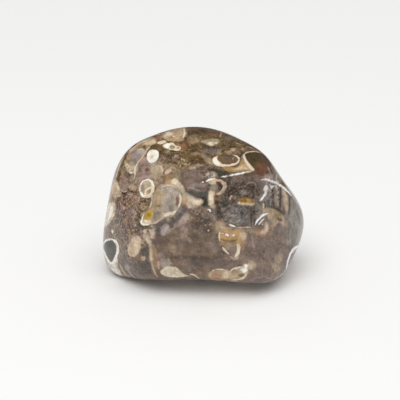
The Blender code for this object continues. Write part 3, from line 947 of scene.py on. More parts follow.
    ("rim's pink arc", stroke, (216.4, 180.2, 220.3, 180.4, 223.6, 183, 225, 186.6, 223.8, 189.6,
        221, 192.4, 217, 194), 0.85, "buff"),
    ("rim, rust spot", wash, (216, 181, 218.5, 180.6, 219, 183, 216.8, 183.6), "rust", 0.1, 0.8),
    ("cream blob", wash, (207.2, 194, 209.6, 190.6, 214.4, 190.6, 216, 193.4, 214.6, 197, 214.2, 202,
        214.6, 207, 209.8, 206.4, 207.6, 200), "sand", 0.14, 1),
    ("cream blob, bright", wash, (207.8, 194.5, 210, 191.4, 213.6, 191.6, 213.6, 196.5, 212.6, 203.6,
        209.2, 203), "cream", 0.3, 0.9),
    ("by cream blob, orange", wash, (214.5, 191.5, 219, 191, 221, 193.2, 218.5, 195, 215.5, 194.5),
        "orange", 0.1, 0.9),
    ("by cream blob, olive gold", wash, (214, 195, 219.5, 195,
        220, 198.6, 216.5, 200.8, 214, 199), "gold", 0.12, 0.75),
    # Painted highlights: two small glints on the rim, and the white hook below
    ("white dot", dot, (202.8, 181.7), 1.1, "chalk"),
    ("second white dot", dot, (200.4, 182.5), 0.7, "cream"),
    ("white hook", stroke, (207.3, 209.3, 209.8, 209.8, 210.8, 212.3), 0.4, "chalk"),
    ("white dot on front", dot, (208.4, 230.2), 1, "cream"),
    # Triangle
    ("dark triangle", wash, (184.5, 191.6, 192, 191, 200, 191.4, 208, 191.8, 208, 197, 206.5, 203,
        210, 206.5, 205, 207, 202, 205, 203.5, 200.5, 197, 197.8, 190, 194.5), "pine", 0.1, 0.95),
    ("white triangle", wash, (183.4, 192.4, 186.5, 193, 190.5, 195.4, 196, 198.2, 203.8, 200.3, 201, 203.4,
        198, 206, 192, 207.2, 187.5, 207, 184, 205, 181.4, 200), "buff", 0.2, 0.95),
    ("triangle, bright heart", wash, (187.5, 196, 191, 197, 196, 199.2, 202.5, 200.6, 198, 202.8,
        192, 202.6), "cream", 0.2, 0.9),
    ("triangle, grey foot", tint, (194, 206), (5, 1.6), "tan", 0.6),
    ("triangle, lilac edge", band, (184.5, 192.8, 189, 195.2, 194, 197.8, 200, 199.8), 0.36, "pearl", 0.9),
    ("triangle, peach foot", wash, (187.6, 203.8, 190.6, 204.3, 191, 207, 188, 207.4), "cream", 0.1, 0.9),
    ("triangle, ochre", wash, (181.2, 194.8, 184, 194.5, 186.6, 198, 187.2, 202, 186, 206, 183.5, 205.3,
        181.6, 200.5), "ochre", 0.12, 0.9),
    ("triangle, cream spot", tint, (184.5, 197.5), (1.6, 2.4), "biscuit", 0.6),
    ("triangle, rust", wash, (183.5, 204.5, 187, 204.8, 187.3, 208, 184.5, 208.3), "rust", 0.12, 0.8),
    ("line over triangle", stroke, (186.5, 187.5, 192, 187.7, 197, 189.6, 202, 191.4), 0.36, "lilac"),
    ("lens's top line", band, (190, 168.4, 194, 167, 198, 165.6, 202, 165), 0.95, "buff", 0.6),
    # Fossil with two lobes
    ("gold over lobes", wash, (160, 188, 163, 183.5, 167, 180.5,
        171, 181, 171, 185, 165, 187), "gold", 0.2, 0.55),
    ("cream cap over lobes", wash, (168.5, 183.5, 171, 180, 175.5, 178.3, 180, 182, 184, 187, 184.5, 191.5,
        181, 191.5, 177.5, 187.5, 173, 185), "biscuit", 0.14, 1),
    ("cap's bright part", wash, (171, 182, 173.5, 179.6, 177, 180,
        178.5, 183.5, 175, 184.5), "cream", 0.14, 0.9),
    ("gold by cap", tint, (168.5, 182), (3, 1.8), "ochre", 0.8),
    ("two lobes", hollow, (151.3, 199, 153.6, 192.5, 158.5, 187.3, 165, 184.8, 172, 184.6, 177, 187,
        180.3, 191, 181.3, 198, 179.8, 205, 176.3, 210.6, 171, 214.4, 166, 216.6, 161, 220.6, 155, 224.2,
        149, 224.3, 143, 225.2, 140.6, 223.6, 141.8, 218, 144, 212.6, 148, 209.3, 150.3, 204.5), "tan"),
    ("lobes' pale top", stain, (166, 187), (8, 2.6), "pearl", 0.85),
    ("lobes' cream foot", stain, (168, 214.6), (7.5, 2.2), "buff", 1),
    ("grey lobe", stain, (170.6, 199.5), (8.6, 13.5), "pearl", 1),
    ("grey lobe's dark middle", stain, (170.4, 203), (3, 8), "ash", 0.75),
    ("grey lobe's dark edge", stain, (177.2, 200.6), (1.5, 4.6), "maroon", 0.9),
    ("tan lobe, grey left", stain, (154.4, 202), (2.8, 9), "ash", 0.35),
    ("tan lobe, streak", band, (158, 186.5, 159.6, 193, 159.4, 200, 158.6, 207), 0.8, "sand", 1),
    ("tan lobe, brown spot", stain, (158.7, 205.8), (1.8, 1.4), "cinnamon", 0.8),
    ("tan lobe, grey foot", stain, (157.3, 215.5), (4, 5), "smoke", 0.65),
    ("lobes' cream corner", stain, (147.6, 221.4), (4.4, 1.8), "cream", 0.8),
    ("amber lobe", stain, (147.4, 216.4), (3, 3), "amber", 0.95),
    ("amber lobe's upper part", stain, (150, 213.4), (2.7, 3.3), "amber", 0.95),
    ("amber lobe's heart", stain, (149.8, 214.2), (1.6, 2), "gold", 0.6),
    ("lobes' right wall", stroke, (179.4, 192.6, 180.7, 198, 180, 203.5, 177.6, 208), 0.44, "cream"),
    ("lobes' lower wall", stroke, (177.5, 208.2, 174, 212, 169, 213.4, 165, 214.6, 161, 218.3, 156.5, 221.8,
        150, 223.8), 0.4, "buff"),
    ("lobes' bright crook", stroke, (176, 210.6, 173.5, 212.6, 168, 214, 164, 216), 0.75, "cream"),
    ("lobes' left edge", stroke, (154, 192, 152, 197.5, 151.4, 203,
        149.3, 208.5, 145.5, 212), 0.24, "biscuit"),
    ("lobes' upper edge", stroke, (161, 187.5, 166, 185.4, 172, 185.4, 177, 188), 0.4, "biscuit"),
    ("white tip", stroke, (144.2, 212.8, 142.6, 217.5,
        141.4, 222.4, 145, 224.4, 150, 223.8), 0.46, "white"),
    # Ring with a curl
    ("ring", chamber, (147.5, 178.4, 151.6, 180, 154.5, 185, 154.2, 190.5, 151.6, 195.8, 147, 197.6,
        142.6, 197.3, 139.6, 193, 139, 187, 140.8, 182.3, 144, 179.4), (147, 180.7, 149.8, 182,
        151.2, 185.3, 151, 189.6, 149, 193.6, 146, 194.8, 143.6, 194.2, 141.4, 191, 140.6, 187,
        142.2, 183.2, 144.5, 181.3), "cream", "buff"),
    ("ring, mauve left", stain, (142.6, 188.2), (1.8, 4.2), "smoke", 0.9),
    ("ring, green heart", stain, (147.8, 184.4), (2.8, 2.4), "moss", 0.8),
    ("ring, curl", stroke, (152.2, 187, 149.4, 188, 146.6, 189.6, 145.4, 192.6, 145.4, 196), 0.56, "cream"),
    ("ring, right cell", stain, (149.4, 192), (1.9, 2.4), "tan", 0.9),
    ("ring, upper edge", stroke, (142.6, 182, 144.4, 180.3,
        148, 179.4, 152, 181.5, 153.6, 186), 0.5, "white"),
    ("ring, bright foot", stroke, (140.2, 190.5, 141.4, 194, 144.4, 196.4, 146.6, 194.6), 0.46, "white"),
    ("ring, lower edge", stroke, (144.6, 196.6, 149.5, 196.6, 153, 192.5), 0.44, "biscuit"),
    ("ring, fleck", dot, (141.4, 183.5), 0.8, "white"),
    ("pale spot", flake, (164.3, 172.6, 166.5, 169.8, 170.5, 168.8,
        172, 170.3, 169, 173, 166, 174.3), "buff"),
    # Lower left
    ("buff oval's halo", wash, (127, 246, 129, 240, 133.5, 235.6,
        138, 235, 134, 242, 130, 250), "lilac", 0.2, 0.5),
    ("buff oval", patch, (135.5, 235.7, 139.5, 236.6, 141.3, 241, 140.3, 247.5, 137.8, 253.5, 134, 256.3,
        129.8, 255.6, 127.8, 251, 128.2, 246, 131, 240), "buff"),
    ("buff oval, brown foot", stain, (132, 253), (2.6, 1.2), "tan", 0.7),
    ("buff oval, pale heart", stain, (136, 246.5), (2.4, 4), "biscuit", 0.7),
    ("first pink stroke", wash, (143.6, 229.6, 147, 229.6, 148.4, 234.5, 151, 239, 151.6, 244.5, 147.5, 244,
        144.5, 238), "biscuit", 0.25, 1),
    ("second pink stroke", wash, (148.8, 229.6, 153.8, 229.4,
        154.5, 234, 152.8, 238.5, 149.6, 237), "buff", 0.3, 0.9),
    ("tall tan stroke", band, (147.6, 238, 150, 244, 151, 250, 151.2, 256, 152, 262, 153.4, 268, 156, 275),
        0.6, "biscuit", 0.8),
    ("tall ochre stroke", band, (153.4, 244, 154.6, 250,
        154.8, 256, 155, 262, 156, 268), 0.8, "ochre", 0.6),
    ("tall stroke's pale foot", stroke, (152.6, 265, 154, 271, 158, 277), 0.3, "sand"),
    ("lilac lobe", wash, (160.6, 229.5, 163, 225, 167.5, 223.8, 170.6, 227.5, 169.8, 232.5, 165, 235,
        161.5, 233.8), "lilac", 0.12, 0.8),
    ("lilac lobe's stripe", band, (164, 234, 166, 229.5, 168.6, 225.6), 0.5, "pearl", 0.7),
    ("pink band", wash, (172.6, 229, 174, 225.5, 179, 220.5, 185, 213.5, 189.5, 215, 184.5, 222, 179, 226),
        "blush", 0.2, 0.7),
    ("pink band's grey head", tint, (186, 215.6), (3, 3), "lilac", 0.7),
    ("pale dot", wash, (141.6, 257, 143.4, 256.2, 145, 257.6,
        144.6, 260, 142.4, 260.3), "biscuit", 0.1, 0.75),
    ("lilac fleck at foot", wash, (124.5, 265, 127.5, 263.6, 130, 267.5,
        128.5, 270.6, 125.5, 269), "lilac", 0.12, 0.9),
    ("first stroke at foot", stroke, (119.5, 263, 122, 269, 126, 274.5, 131, 278), 0.9, "sand"),
    ("dark by first stroke", band, (121.5, 262, 124, 268, 128.5, 274), 0.5, "pine", 0.8),
    ("second stroke at foot", stroke, (127, 268, 131, 274, 135.5, 278), 0.9, "lilac"),
    # Bottom
    ("tan lens", wash, (160.4, 271, 163, 268.6, 168, 266.4, 174, 266.6, 179.5, 269.8, 184, 273.4,
        188, 275.6, 182, 276.6, 174, 277, 167, 276, 162, 274), "cream", 0.14, 1),
    ("tan lens's left edge", stroke, (160.6, 269.6, 162, 273, 166.5, 275.4, 172, 276.6), 0.4, "cream"),
    ("tan lens's tail", stroke, (178, 270.6, 184, 274.6, 191, 276), 0.34, "buff"),
    ("white line at bottom", stroke, (189.5, 273.6, 194.5, 275, 199.5, 278.4), 0.5, "cream"),
    ("orange blob", wash, (208, 275, 211, 270.8, 218, 269, 226, 269.6, 230, 272, 229, 278, 221, 280.2,
        213, 279.5), "sand", 0.14, 1),
    ("orange blob, heart", tint, (217, 275.6), (4.6, 3), "orange", 0.9),
    ("orange blob, cream right", tint, (226, 275), (2.6, 4), "biscuit", 0.8),
    ("orange blob, edge", stroke, (212, 270.7, 217.5, 269, 226, 269.6), 0.34, "cream"),
    ("shell with eyes", wash, (229, 273, 231.5, 269, 236, 267.4, 242, 265.8, 247.5, 264.8, 248.6, 269,
        247.6, 274, 244, 278.6, 239, 281, 231, 281, 228, 277.6), "sand", 0.12, 1),
    ("first eye", hollow, (231, 273, 233.4, 270.8, 237.3, 270.6, 238.8, 273, 236.5, 275, 232, 275), "tan"),
    ("first eye's dark top", stain, (235, 271.6), (3.4, 1.4), "hazel", 0.9),
    ("second eye", hollow, (237.6, 275.4, 239.6, 273.6, 243, 273.4, 244.2, 274.8, 241.4, 276.8), "hazel"),
    ("eyes' upper wall", stroke, (229.6, 272.6, 232, 269.3, 237, 267.6, 243, 266), 0.4, "cream"),
    ("white by eyes", wash, (240.2, 269.4, 242.4, 265.8, 246, 264, 248.6, 264.8, 247.8, 268.6, 246, 271.6,
        242.4, 272), "white", 0.22, 1),
    ("pale bit right of eyes", wash, (248, 266.5, 252, 262.6,
        254.6, 263.6, 253, 267, 249.4, 270), "buff", 0.2, 0.9),
    ("eyes' right edge", stroke, (246.4, 272, 245.6, 275.2,
        242.4, 278, 237, 279.4, 230.5, 279.8), 0.48, "cream"),
    ("eyes' foot", stroke, (226.5, 280.3, 233, 281.4, 240, 280.6), 0.34, "sand"),
    ("tail of shell with eyes", wash, (247.5, 265, 250, 261.6, 254, 261, 256.3, 264.5, 254.6, 269,
        250, 271), "buff", 0.25, 0.45),
    ("tail's dark heart", tint, (249.4, 270.6), (1.4, 1.5), "hazel", 0.8),
    # Shelf under the pit
    ("tan over shelf", wash, (215.5, 222, 219.5, 220.5, 222.5, 225, 231, 226.5, 245, 228.6, 247, 232,
        219, 232, 216.4, 228), "tan", 0.2, 0.95),
    ("shelf", wash, (219, 231, 226, 229.5, 236, 230, 244, 230.6, 247.5, 233.5, 245.8, 238, 243.5, 244,
        240.6, 248.5, 237.6, 245, 230, 247.3, 224.5, 246.5, 220, 241), "ochre", 0.12, 1),
    ("shelf, pink right", wash, (240, 232.4, 244.5, 231.6, 246.3, 234.5, 244.4, 239, 242, 240.6, 240, 237),
        "buff", 0.15, 0.75),
    ("shelf, brown band", band, (221.3, 238.6, 225, 240.3, 230.5, 241, 237.3, 239.4), 0.5, "gold", 1),
    ("shelf, orange", stain, (225.6, 236.4), (4.4, 3.4), "orange", 0.4),
    ("shelf, peach line", band, (222, 233.8, 230, 234.8, 238, 234.6), 0.42, "peach", 0.8),
    ("shelf, gold line", band, (221, 237.2, 229, 238, 237.6, 237), 0.4, "amber", 0.5),
    ("shelf, olive foot", stain, (229.5, 244.6), (5.5, 2), "tan", 0.9),
    ("shelf, left edge", stroke, (219.6, 231.5, 219.2, 236, 220, 241), 0.4, "cream"),
    ("shelf, upper bar", stroke, (219.2, 232.8, 221.5, 233, 224, 233.6), 0.26, "cream"),
    # Painted highlights: two glints on the shelf
    ("shelf, first dot", flake, (225, 234, 227, 233.3, 229.4, 234.6, 228.4, 236, 226, 235.6), "chalk"),
    ("shelf, second dot", flake, (231.9, 234.4, 233.6, 233.6,
        235.2, 235, 233.9, 236.4, 232.3, 236), "chalk"),
    ("shelf, third dot", dot, (243.5, 233.5), 1.1, "buff"),
    ("inside V", wash, (224.5, 247, 237, 246.6, 237.5, 252, 235, 257, 230, 255), "mauve", 0.15, 0.8),
    ("V, left wall", stroke, (222.4, 246.5, 225, 250, 229, 254), 0.5, "cream"),
    ("V, right wall", stroke, (237.6, 243, 238.8, 248.5, 237.8, 253, 235, 257), 0.74, "cream"),
    ("V, foot", wash, (230, 256.6, 235, 256.8, 238.4, 256, 238, 259, 233, 259.6), "buff", 0.1, 0.8),
    # Right
    ("tan blob right", wash, (263, 209, 268, 207.6, 275, 209.6, 281.5, 214, 285.5, 219.5, 289, 226.5,
        285, 226, 279.5, 222.6, 274, 226, 269.5, 224.5, 268, 217, 264.5, 213.5), "sand", 0.16, 0.95),
    ("tan blob's yellow", tint, (277, 216.5), (3.6, 2.6), "gold", 0.6),
    ("dark over tan blob", band, (265, 205.6, 272, 206.6, 279, 209.6, 284, 214), 0.6, "coffee", 0.7),
    ("tan blob's pink end", tint, (284.5, 222.5), (3, 3), "blush", 0.6),
    ("tan blob's dark heart", wash, (277.5, 217.5, 280.5, 218,
        282, 220.6, 279.5, 221.3), "coffee", 0.15, 0.9),
    ("orange of streak", wash, (262.5, 223, 267, 220.6, 270.5, 223, 272, 229, 270, 235, 265.5, 239,
        262, 235.6, 256, 233.4, 257, 229.6, 262, 228.4), "orange", 0.35, 0.5),
    ("cream streak right", wash, (265.3, 222, 268.3, 222.4, 269.3, 227, 267.6, 231.5, 264.4, 234.6,
        261, 232.4, 263.6, 229), "buff", 0.25, 0.9),
    ("bright middle of streak", tint, (266.4, 227.6), (1.6, 2.6), "cream", 0.7),
    ("brown right of cream streak", tint, (271, 231.5), (2.4, 3.6), "ochre", 0.55),
    ("fleck by lower glint", dot, (262.3, 224), 0.8, "cream"),
    ("right wall", stroke, (298.6, 245.4, 294.4, 248.2, 291, 252.6, 288.8, 258, 287.4, 263, 286.6, 268,
        285, 273), 0.95, "chalk"),
    ("right foot's edge", stroke, (284.8, 270.8, 280.8, 275, 276.6, 278, 272, 280.4), 0.44, "cream"),
    ("first swirl at foot", band, (247, 281, 255, 278, 263, 276.8, 270, 278.4), 0.4, "lilac", 0.7),
    ("second swirl at foot", band, (254, 284, 262, 281.6, 271, 281.6), 0.36, "lilac", 0.6),
    ("right wall's filling", wash, (299, 248.5, 295, 252, 291.6, 258, 290, 264, 294, 261.5, 298.5, 253),
        "pine", 0.12, 0.8),
    # Small rings in the speckled silica
    ("small ring left", ring, (116.5, 221.5), (3, 3.4), 0.26, "rose"),
    ("second small ring left", ring, (123.5, 210.5), (3.8, 4.4), 0.2, "rose"),
    ("third small ring left", ring, (139, 205), (3.2, 3), 0.22, "rose"),
)

# The last shades of the front, over everything but the walls. Each row is a name, a place, a half-size, a
# colour and its share.
LAST_STAINS = (
    # Upper left: around the ring, the disc and the long chamber
    ("sand above right of ring", (157, 178), (4.5, 7), "sand", 0.45),
    ("green-grey blob, pale", (155, 170), (5, 4), "biscuit", 0.4),
    ("pale above ring", (151, 180), (5, 6), "biscuit", 0.25),
    ("ring's pale heart", (148, 184), (3.5, 3.5), "biscuit", 0.4),
    ("ring's pale left", (142.5, 188), (2, 4), "pearl", 0.4),
    ("sand right of red-brown blob", (131, 185), (4, 5), "sand", 0.35),
    ("long chamber's pale foot", (130, 165), (3.5, 3), "biscuit", 0.35),
    ("rose right of disc", (163, 159), (5, 3), "rose", 0.4),
    ("sand by pale spot", (172.5, 168.5), (3.4, 2.6), "sand", 0.45),
    ("rose in brown cloud", (173, 158), (3, 3), "rose", 0.35),
    ("ochre top, pale foot", (152, 142), (6, 2.4), "biscuit", 0.4),
    ("cream seam's pale head", (148, 147), (2, 2.4), "biscuit", 0.5),
    ("pearl over lobes", (160, 188), (3, 3), "pearl", 0.35),
    ("ochre top, pale middle", (149.5, 140.5), (5.5, 3.6), "biscuit", 0.5),
    ("long chamber's pale top", (141, 143.5), (4, 2.4), "biscuit", 0.4),
    ("long chamber's ochre rim", (128, 156), (2, 6), "ochre", 0.6),
    # Top and the ridge
    ("lilac over eye's left", (213, 151.5), (8, 2.4), "lilac", 0.45),
    ("sand over eye", (233, 152), (8, 2.2), "sand", 0.45),
    ("pale by slate corner", (208.5, 175.5), (5, 2.4), "biscuit", 0.45),
    ("cinnamon under eye", (244, 170.3), (3.4, 1.4), "cinnamon", 0.5),
    ("lens's dark foot", (191.5, 180), (5.5, 4), "umber", 0.45),
    ("golden by sparkle", (187, 165), (4, 2.6), "golden", 0.45),
    ("arch's wine foot", (262, 169), (6, 6), "wine", 0.6),
    ("arch's golden left", (255, 165), (3.4, 3), "golden", 0.6),
    ("umber left of eye", (209, 158.5), (6, 3), "umber", 0.35),
    ("rose under ridge", (240, 179), (7, 3.4), "rose", 0.3),
    ("rim's sand heart", (214, 188), (2, 3), "sand", 0.5),
    # Left
    ("rose in second small ring", (121, 210), (3.6, 4), "rose", 0.5),
    ("sand left of lobes", (142, 211), (3, 3), "sand", 0.35),
    ("second pink stroke's head", (151.5, 228), (3, 3.6), "buff", 0.5),
    ("buff right of oval", (141.6, 240), (2.6, 4.6), "buff", 0.4),
    ("umber by left foot", (124, 260), (2.4, 3.4), "umber", 0.6),
    ("golden over left foot", (115, 233), (3.6, 6), "golden", 0.45),
    ("umber right of left foot", (123, 240), (4.6, 4.6), "umber", 0.4),
    ("sand by pink band", (190, 218), (3.4, 2.6), "sand", 0.35),
    ("umber in red-brown cloud", (130, 200), (3, 3), "umber", 0.35),
    ("umber in tall stroke", (155, 261.5), (1.4, 5), "umber", 0.5),
    ("rose right of tall stroke, brighter", (160.5, 254.5), (2.6, 2.2), "rose", 0.5),
    ("umber in lobes' foot", (172, 209), (2.6, 4), "umber", 0.3),
    ("pink band, lilac", (181, 222), (5, 4), "lilac", 0.35),
    # Pit and shelf
    ("umber over gold ledge", (237, 195), (5, 2.8), "umber", 0.7),
    ("umber in wedge", (234, 200.5), (2.4, 2.4), "umber", 0.5),
    ("umber under gold ledge", (247, 206.6), (5, 1.6), "umber", 0.5),
    ("umber left of glint's head", (261.4, 189), (1.4, 4), "umber", 0.5),
    ("buff over shelf's left", (222.6, 223), (2.6, 5), "buff", 0.4),
    ("sand left of shelf", (217, 230.5), (2.6, 2.4), "sand", 0.4),
    ("sand right of shelf", (250, 230), (2, 2.4), "sand", 0.5),
    ("shelf's sand corner", (220.5, 242.5), (2, 2.6), "sand", 0.5),
    ("sand in V", (227, 248), (2.4, 1.6), "sand", 0.5),
    ("rose by white hook", (205, 217), (3.6, 2.4), "rose", 0.35),
    ("umber left of V", (217, 255), (4, 2.6), "umber", 0.3),
    # Right and bottom
    ("umber right of V", (248.5, 252), (4.6, 5), "umber", 0.6),
    ("umber under V", (240, 260), (3.4, 2.4), "umber", 0.35),
    ("umber right of tan blob", (287, 225), (2.6, 7), "umber", 0.45),
    # Painted reflection: a pale veil at the right edge
    ("pale right edge", (299, 226), (2.4, 8), "pearl", 0.5),
    ("lower right, darker", (274, 246), (22, 24), "umber", 0.1),
    ("umber over right wall", (288, 236), (3, 3), "umber", 0.35),
    ("buff between orange blob and eyes", (229, 272.4), (9, 1.8), "buff", 0.4),
    # Painted shade: a dark line along the bottom edge, where the stone turns under
    ("dark line of foot", (190, 279.4), (44, 1.6), "coffee", 0.35),
)

# The gold ledge in the pit stays whole: its place in the picture and its half-size.
LEDGE_PLACE = (247.5, 201.8)
LEDGE_SIZE = (9.0, 4.5)

# Fine breaks of the front: bowls as in the form, where a negative depth stands proud.
FINE_BREAKS = (
    ("gold ledge", 28.0, 20.0, 1.9, 0.75, 0.0, -0.5, 0.0),
    ("fuller lower left", -68.0, -40.0, 7.0, 4.0, 0.0, -0.7, 0.0),
)

# Lips along lines of MARKINGS: the line's name, and the lip's height and half width in millimetres.
LIPS = (
    ("ridge's edge", 0.16, 0.4),
    ("hollow's edge", 0.2, 0.4),
    ("upper glint by the pit", 0.22, 0.4),
    ("lower glint by the pit", 0.18, 0.35),
    ("pit's lower lip", 0.15, 0.35),
    ("rim's pink arc", 0.12, 0.5),
)
FRONT_POINT = 0.93 * POINT_SIZE   # millimetres across one point of the picture on the stone's front

# The pit's break. A noise is its length in millimetres, its seed and its octaves.
PIT_MIDDLE = (33.0, 20.0)         # azimuth and elevation of the middle of the broken walls
STEPS = 2.6                       # terraces on each side of the noise's middle
STEP_NOISE = (3.4, 5, 3)
STEP_STRETCH = (0.85, 0.85, 1.25)
STEP_FOOT, STEP_HEAD = 0.28, 0.74  # where a step's crevice and its lip lie between two terraces
SPLINTER_NOISE = (1.5, 5, 3)
SPLINTER_STRETCH = (1.0, 1.0, 0.35)
FINE_SPLINTER_NOISE = (0.9, 6, 2)

# Fillings and walls of the snails and scraps on the sides that the front view hides. Pairs are the ranges
# that each snail or scrap is drawn from, in millimetres, degrees or shares of its size.
HIDDEN_FILLS = (
    "olive", "hazel", "lilac", "maroon", "slate", "sand", "pearl", "peach", "ochre", "rose", "buff",
)
HIDDEN_WALLS = ("cream", "buff", "white", "cream")
GROUND_SHADES = ("chocolate", "mauve", "golden", "slate", "rose")
EDGE_OF_VIEW = 0.12               # cosine to the view below which a point belongs to the hidden sides
HIDDEN_SNAILS = 60
SNAIL_TRIES = 8                   # draws for each snail that is wanted
SNAIL_LENGTH = (11.0, 22.0)
SNAIL_DEPTH = (0.8, 1.0)
SNAIL_SHIFT = (0.3, 0.8)
SNAIL_SLOPE = (10.0, 15.0)
SNAIL_GROWTH = (0.2, 0.27)        # natural logarithm of the growth in one turn
SNAIL_WALL = (0.22, 0.4)
SNAIL_TIP = 0.22                  # share of the length that is missing at the tip
SNAIL_MIDDLE = 0.52               # distance of the tube from the axis, as a share of the cone's radius
SNAIL_CORNER = 2.6                # power of the tube's outline
WHORL_SCALE = 8.0                 # height of the whorl that the others are counted from
FEWEST_POINTS = 60                # surface points in the smallest cut of a snail
MOST_OVERLAP = 0.12               # share of a snail's cut that may lie on others
HIDDEN_SCRAPS = 260
SCRAP_RADIUS = (0.5, 2.4)
SCRAP_THICKNESS = (0.14, 0.3)
SCRAP_DEPTH = (0.7, 1.0)
SCRAP_CUT = (-0.5, 0.6)
SCRAP_SHADES = ("cream", "buff", "rose", "sand", "pearl")
SCRAP_GAP = 0.15                  # millimetres that a scrap keeps from walls and fillings


# Snails and scraps of shell in the round, cut wherever the surface passes through them
def frame_of(axis, draw):
    """Three square directions, the last one along the axis, with the others turned at random."""
    axis = unit(axis)
    across = unit(np.cross(axis, draw.normal(size=3)))
    return np.stack([across, np.cross(axis, across), axis])


def snail_distances(points, apex, axes, taper, growth):
    """Distance to a spired shell's tube and the whorl's number, for points in millimetres.

    The tube winds round the axis. Its height is a power of the growth with one step in each turn, and its
    distance from the axis and its size are shares of that height, so every whorl repeats the last one larger.
    """
    local = (points - apex) @ axes.T
    height = np.maximum(local[:, 2], 0.05)
    away = np.hypot(local[:, 0], local[:, 1])
    turn = np.arctan2(local[:, 1], local[:, 0]) / (2.0 * math.pi)
    whorl = np.round(np.log(height / WHORL_SCALE) / math.log(growth) - turn)
    middle = WHORL_SCALE * growth ** (whorl + turn)
    half_height = middle * (math.sqrt(growth) - 1.0 / math.sqrt(growth)) / 2.0
    half_width = 0.5 * middle * taper
    u = np.abs(away - SNAIL_MIDDLE * middle * taper) / half_width
    v = np.abs(height - middle) / half_height
    reach = (u ** SNAIL_CORNER + v ** SNAIL_CORNER) ** (1.0 / SNAIL_CORNER)
    return (reach - 1.0) * np.minimum(half_height, half_width), whorl


def snail(skin, free, draw):
    """Add a spired shell, walls and filled whorls, if its cut stays clear of the front and of others."""
    start = skin.points[draw.integers(len(skin.points))]
    axis = unit(draw.normal(size=3))
    length = draw.uniform(*SNAIL_LENGTH)
    apex = start * draw.uniform(*SNAIL_DEPTH) - axis * length * draw.uniform(*SNAIL_SHIFT)
    axes = frame_of(axis, draw)
    taper = math.tan(math.radians(draw.uniform(*SNAIL_SLOPE)))
    growth = math.exp(draw.uniform(*SNAIL_GROWTH))
    wall = draw.uniform(*SNAIL_WALL)
    shades = [skin.palette[name] for name in draw.choice(HIDDEN_FILLS, 3)]
    wall_shade = skin.palette[draw.choice(HIDDEN_WALLS)]
    distance, whorl = snail_distances(skin.points, apex, axes, taper, growth)
    along = (skin.points - apex) @ axes[2]
    distance = np.maximum(distance, np.maximum(along - length, length * SNAIL_TIP - along))
    inside = distance < 0.0
    if inside.sum() < FEWEST_POINTS or (inside & (skin.towards > EDGE_OF_VIEW)).any():
        return False
    if (inside & ~free).sum() > MOST_OVERLAP * inside.sum():
        return False
    free &= ~inside
    picked = np.flatnonzero(distance < 1.5)
    distance = distance[picked]
    skin.clear(("patch", "fill", "shell"), picked, distance)
    skin.lay("shell", picked, np.maximum(distance, -(distance + wall)), wall_shade)
    shade = np.array(shades)[(whorl[picked] % 3).astype(int)]
    skin.lay("fill", picked, distance + wall, shade)
    return True


def scrap(skin, where, draw):
    """A curved scrap of thin shell: the part of a thin sphere that lies past a plane."""
    start = skin.points[draw.choice(where)]
    radius = draw.uniform(*SCRAP_RADIUS)
    thickness = draw.uniform(*SCRAP_THICKNESS)
    middle = start + unit(draw.normal(size=3)) * radius * draw.uniform(*SCRAP_DEPTH)
    plane = unit(draw.normal(size=3))
    away = skin.points - middle
    gap = np.linalg.norm(away, axis=1)
    picked = np.flatnonzero(gap < radius + 0.9)
    distance = np.abs(gap[picked] - radius) - thickness / 2.0
    distance = np.maximum(distance, -(away[picked] @ plane) + radius * draw.uniform(*SCRAP_CUT))
    clear = np.minimum(skin.value["shell"][picked], skin.value["fill"][picked]) > SCRAP_GAP
    shade = skin.palette[draw.choice(SCRAP_SHADES)]
    skin.lay("shell", picked[clear], distance[clear], shade)


def grow_hidden_side(skin, seed):
    """Ground colours, snails and scraps on the sides that the front view hides."""
    draw = np.random.default_rng(seed)
    hidden = ease(0.5 - skin.towards / 0.25)
    for number, name in enumerate(GROUND_SHADES):
        share = ease(wobble(skin.points, 22.0, seed + 10 + number) * 1.8 - 0.25) * 0.85 * hidden
        skin.blend(("ground",), np.arange(len(share)), name, share)
    speckled = 0.55 + 0.4 * wobble(skin.points, 18.0, seed + 30)
    skin.value["speckle"] += hidden * (speckled - skin.value["speckle"])
    free = skin.towards < EDGE_OF_VIEW
    grown = 0
    for _ in range(HIDDEN_SNAILS * SNAIL_TRIES):
        grown += grown < HIDDEN_SNAILS and snail(skin, free, draw)
    where = np.flatnonzero(skin.towards < 0.05)
    for _ in range(HIDDEN_SCRAPS):
        scrap(skin, where, draw)


# The stone as a mesh
CHART_MARGIN = 0.004              # gap round each face of the cube in the texture's square


def worn_points(rays):
    """Surface points in millimetres from the core, and how deep the deepest bowl is at each one.

    The reach of a ray is the worn reach plus the waves and the highest rise, less the deepest bowl.
    """
    plain = rays * worn_reach(rays)[:, None]
    sink = np.maximum.reduce([bowl_depth(plain, *row[1:]) for row in HOLLOWS])
    lift = np.maximum.reduce([bowl_depth(plain, *row[1:]) for row in RISES])
    reach = np.linalg.norm(plain, axis=1) + wave_rise(plain) - sink + lift
    return rays * reach[:, None], sink


def hump(value, middle, width):
    """A bell curve: 1 at its middle, and falling off over a width on both sides."""
    return np.exp(-((value - middle) / width) ** 2)


def broken_steps(points, amount):
    """Height of a splintery break's steps, and how deep in a crevice (above 0) or on a lip each point is.

    Smooth noise is cut into terraces: each keeps its level over most of its width and climbs to the next one
    in a narrow rise. The foot of the rise is a crevice and its head is a lip.
    """
    level = STEPS * wobble(points * STEP_STRETCH, *STEP_NOISE)
    step = np.floor(level)
    share = level - step
    crevice = hump(share, STEP_FOOT, 0.13) - 0.55 * hump(share, STEP_HEAD, 0.1)
    return (step + ease((share - 0.34) / 0.32)) * amount, crevice * np.minimum(amount * 1.2, 1.0)


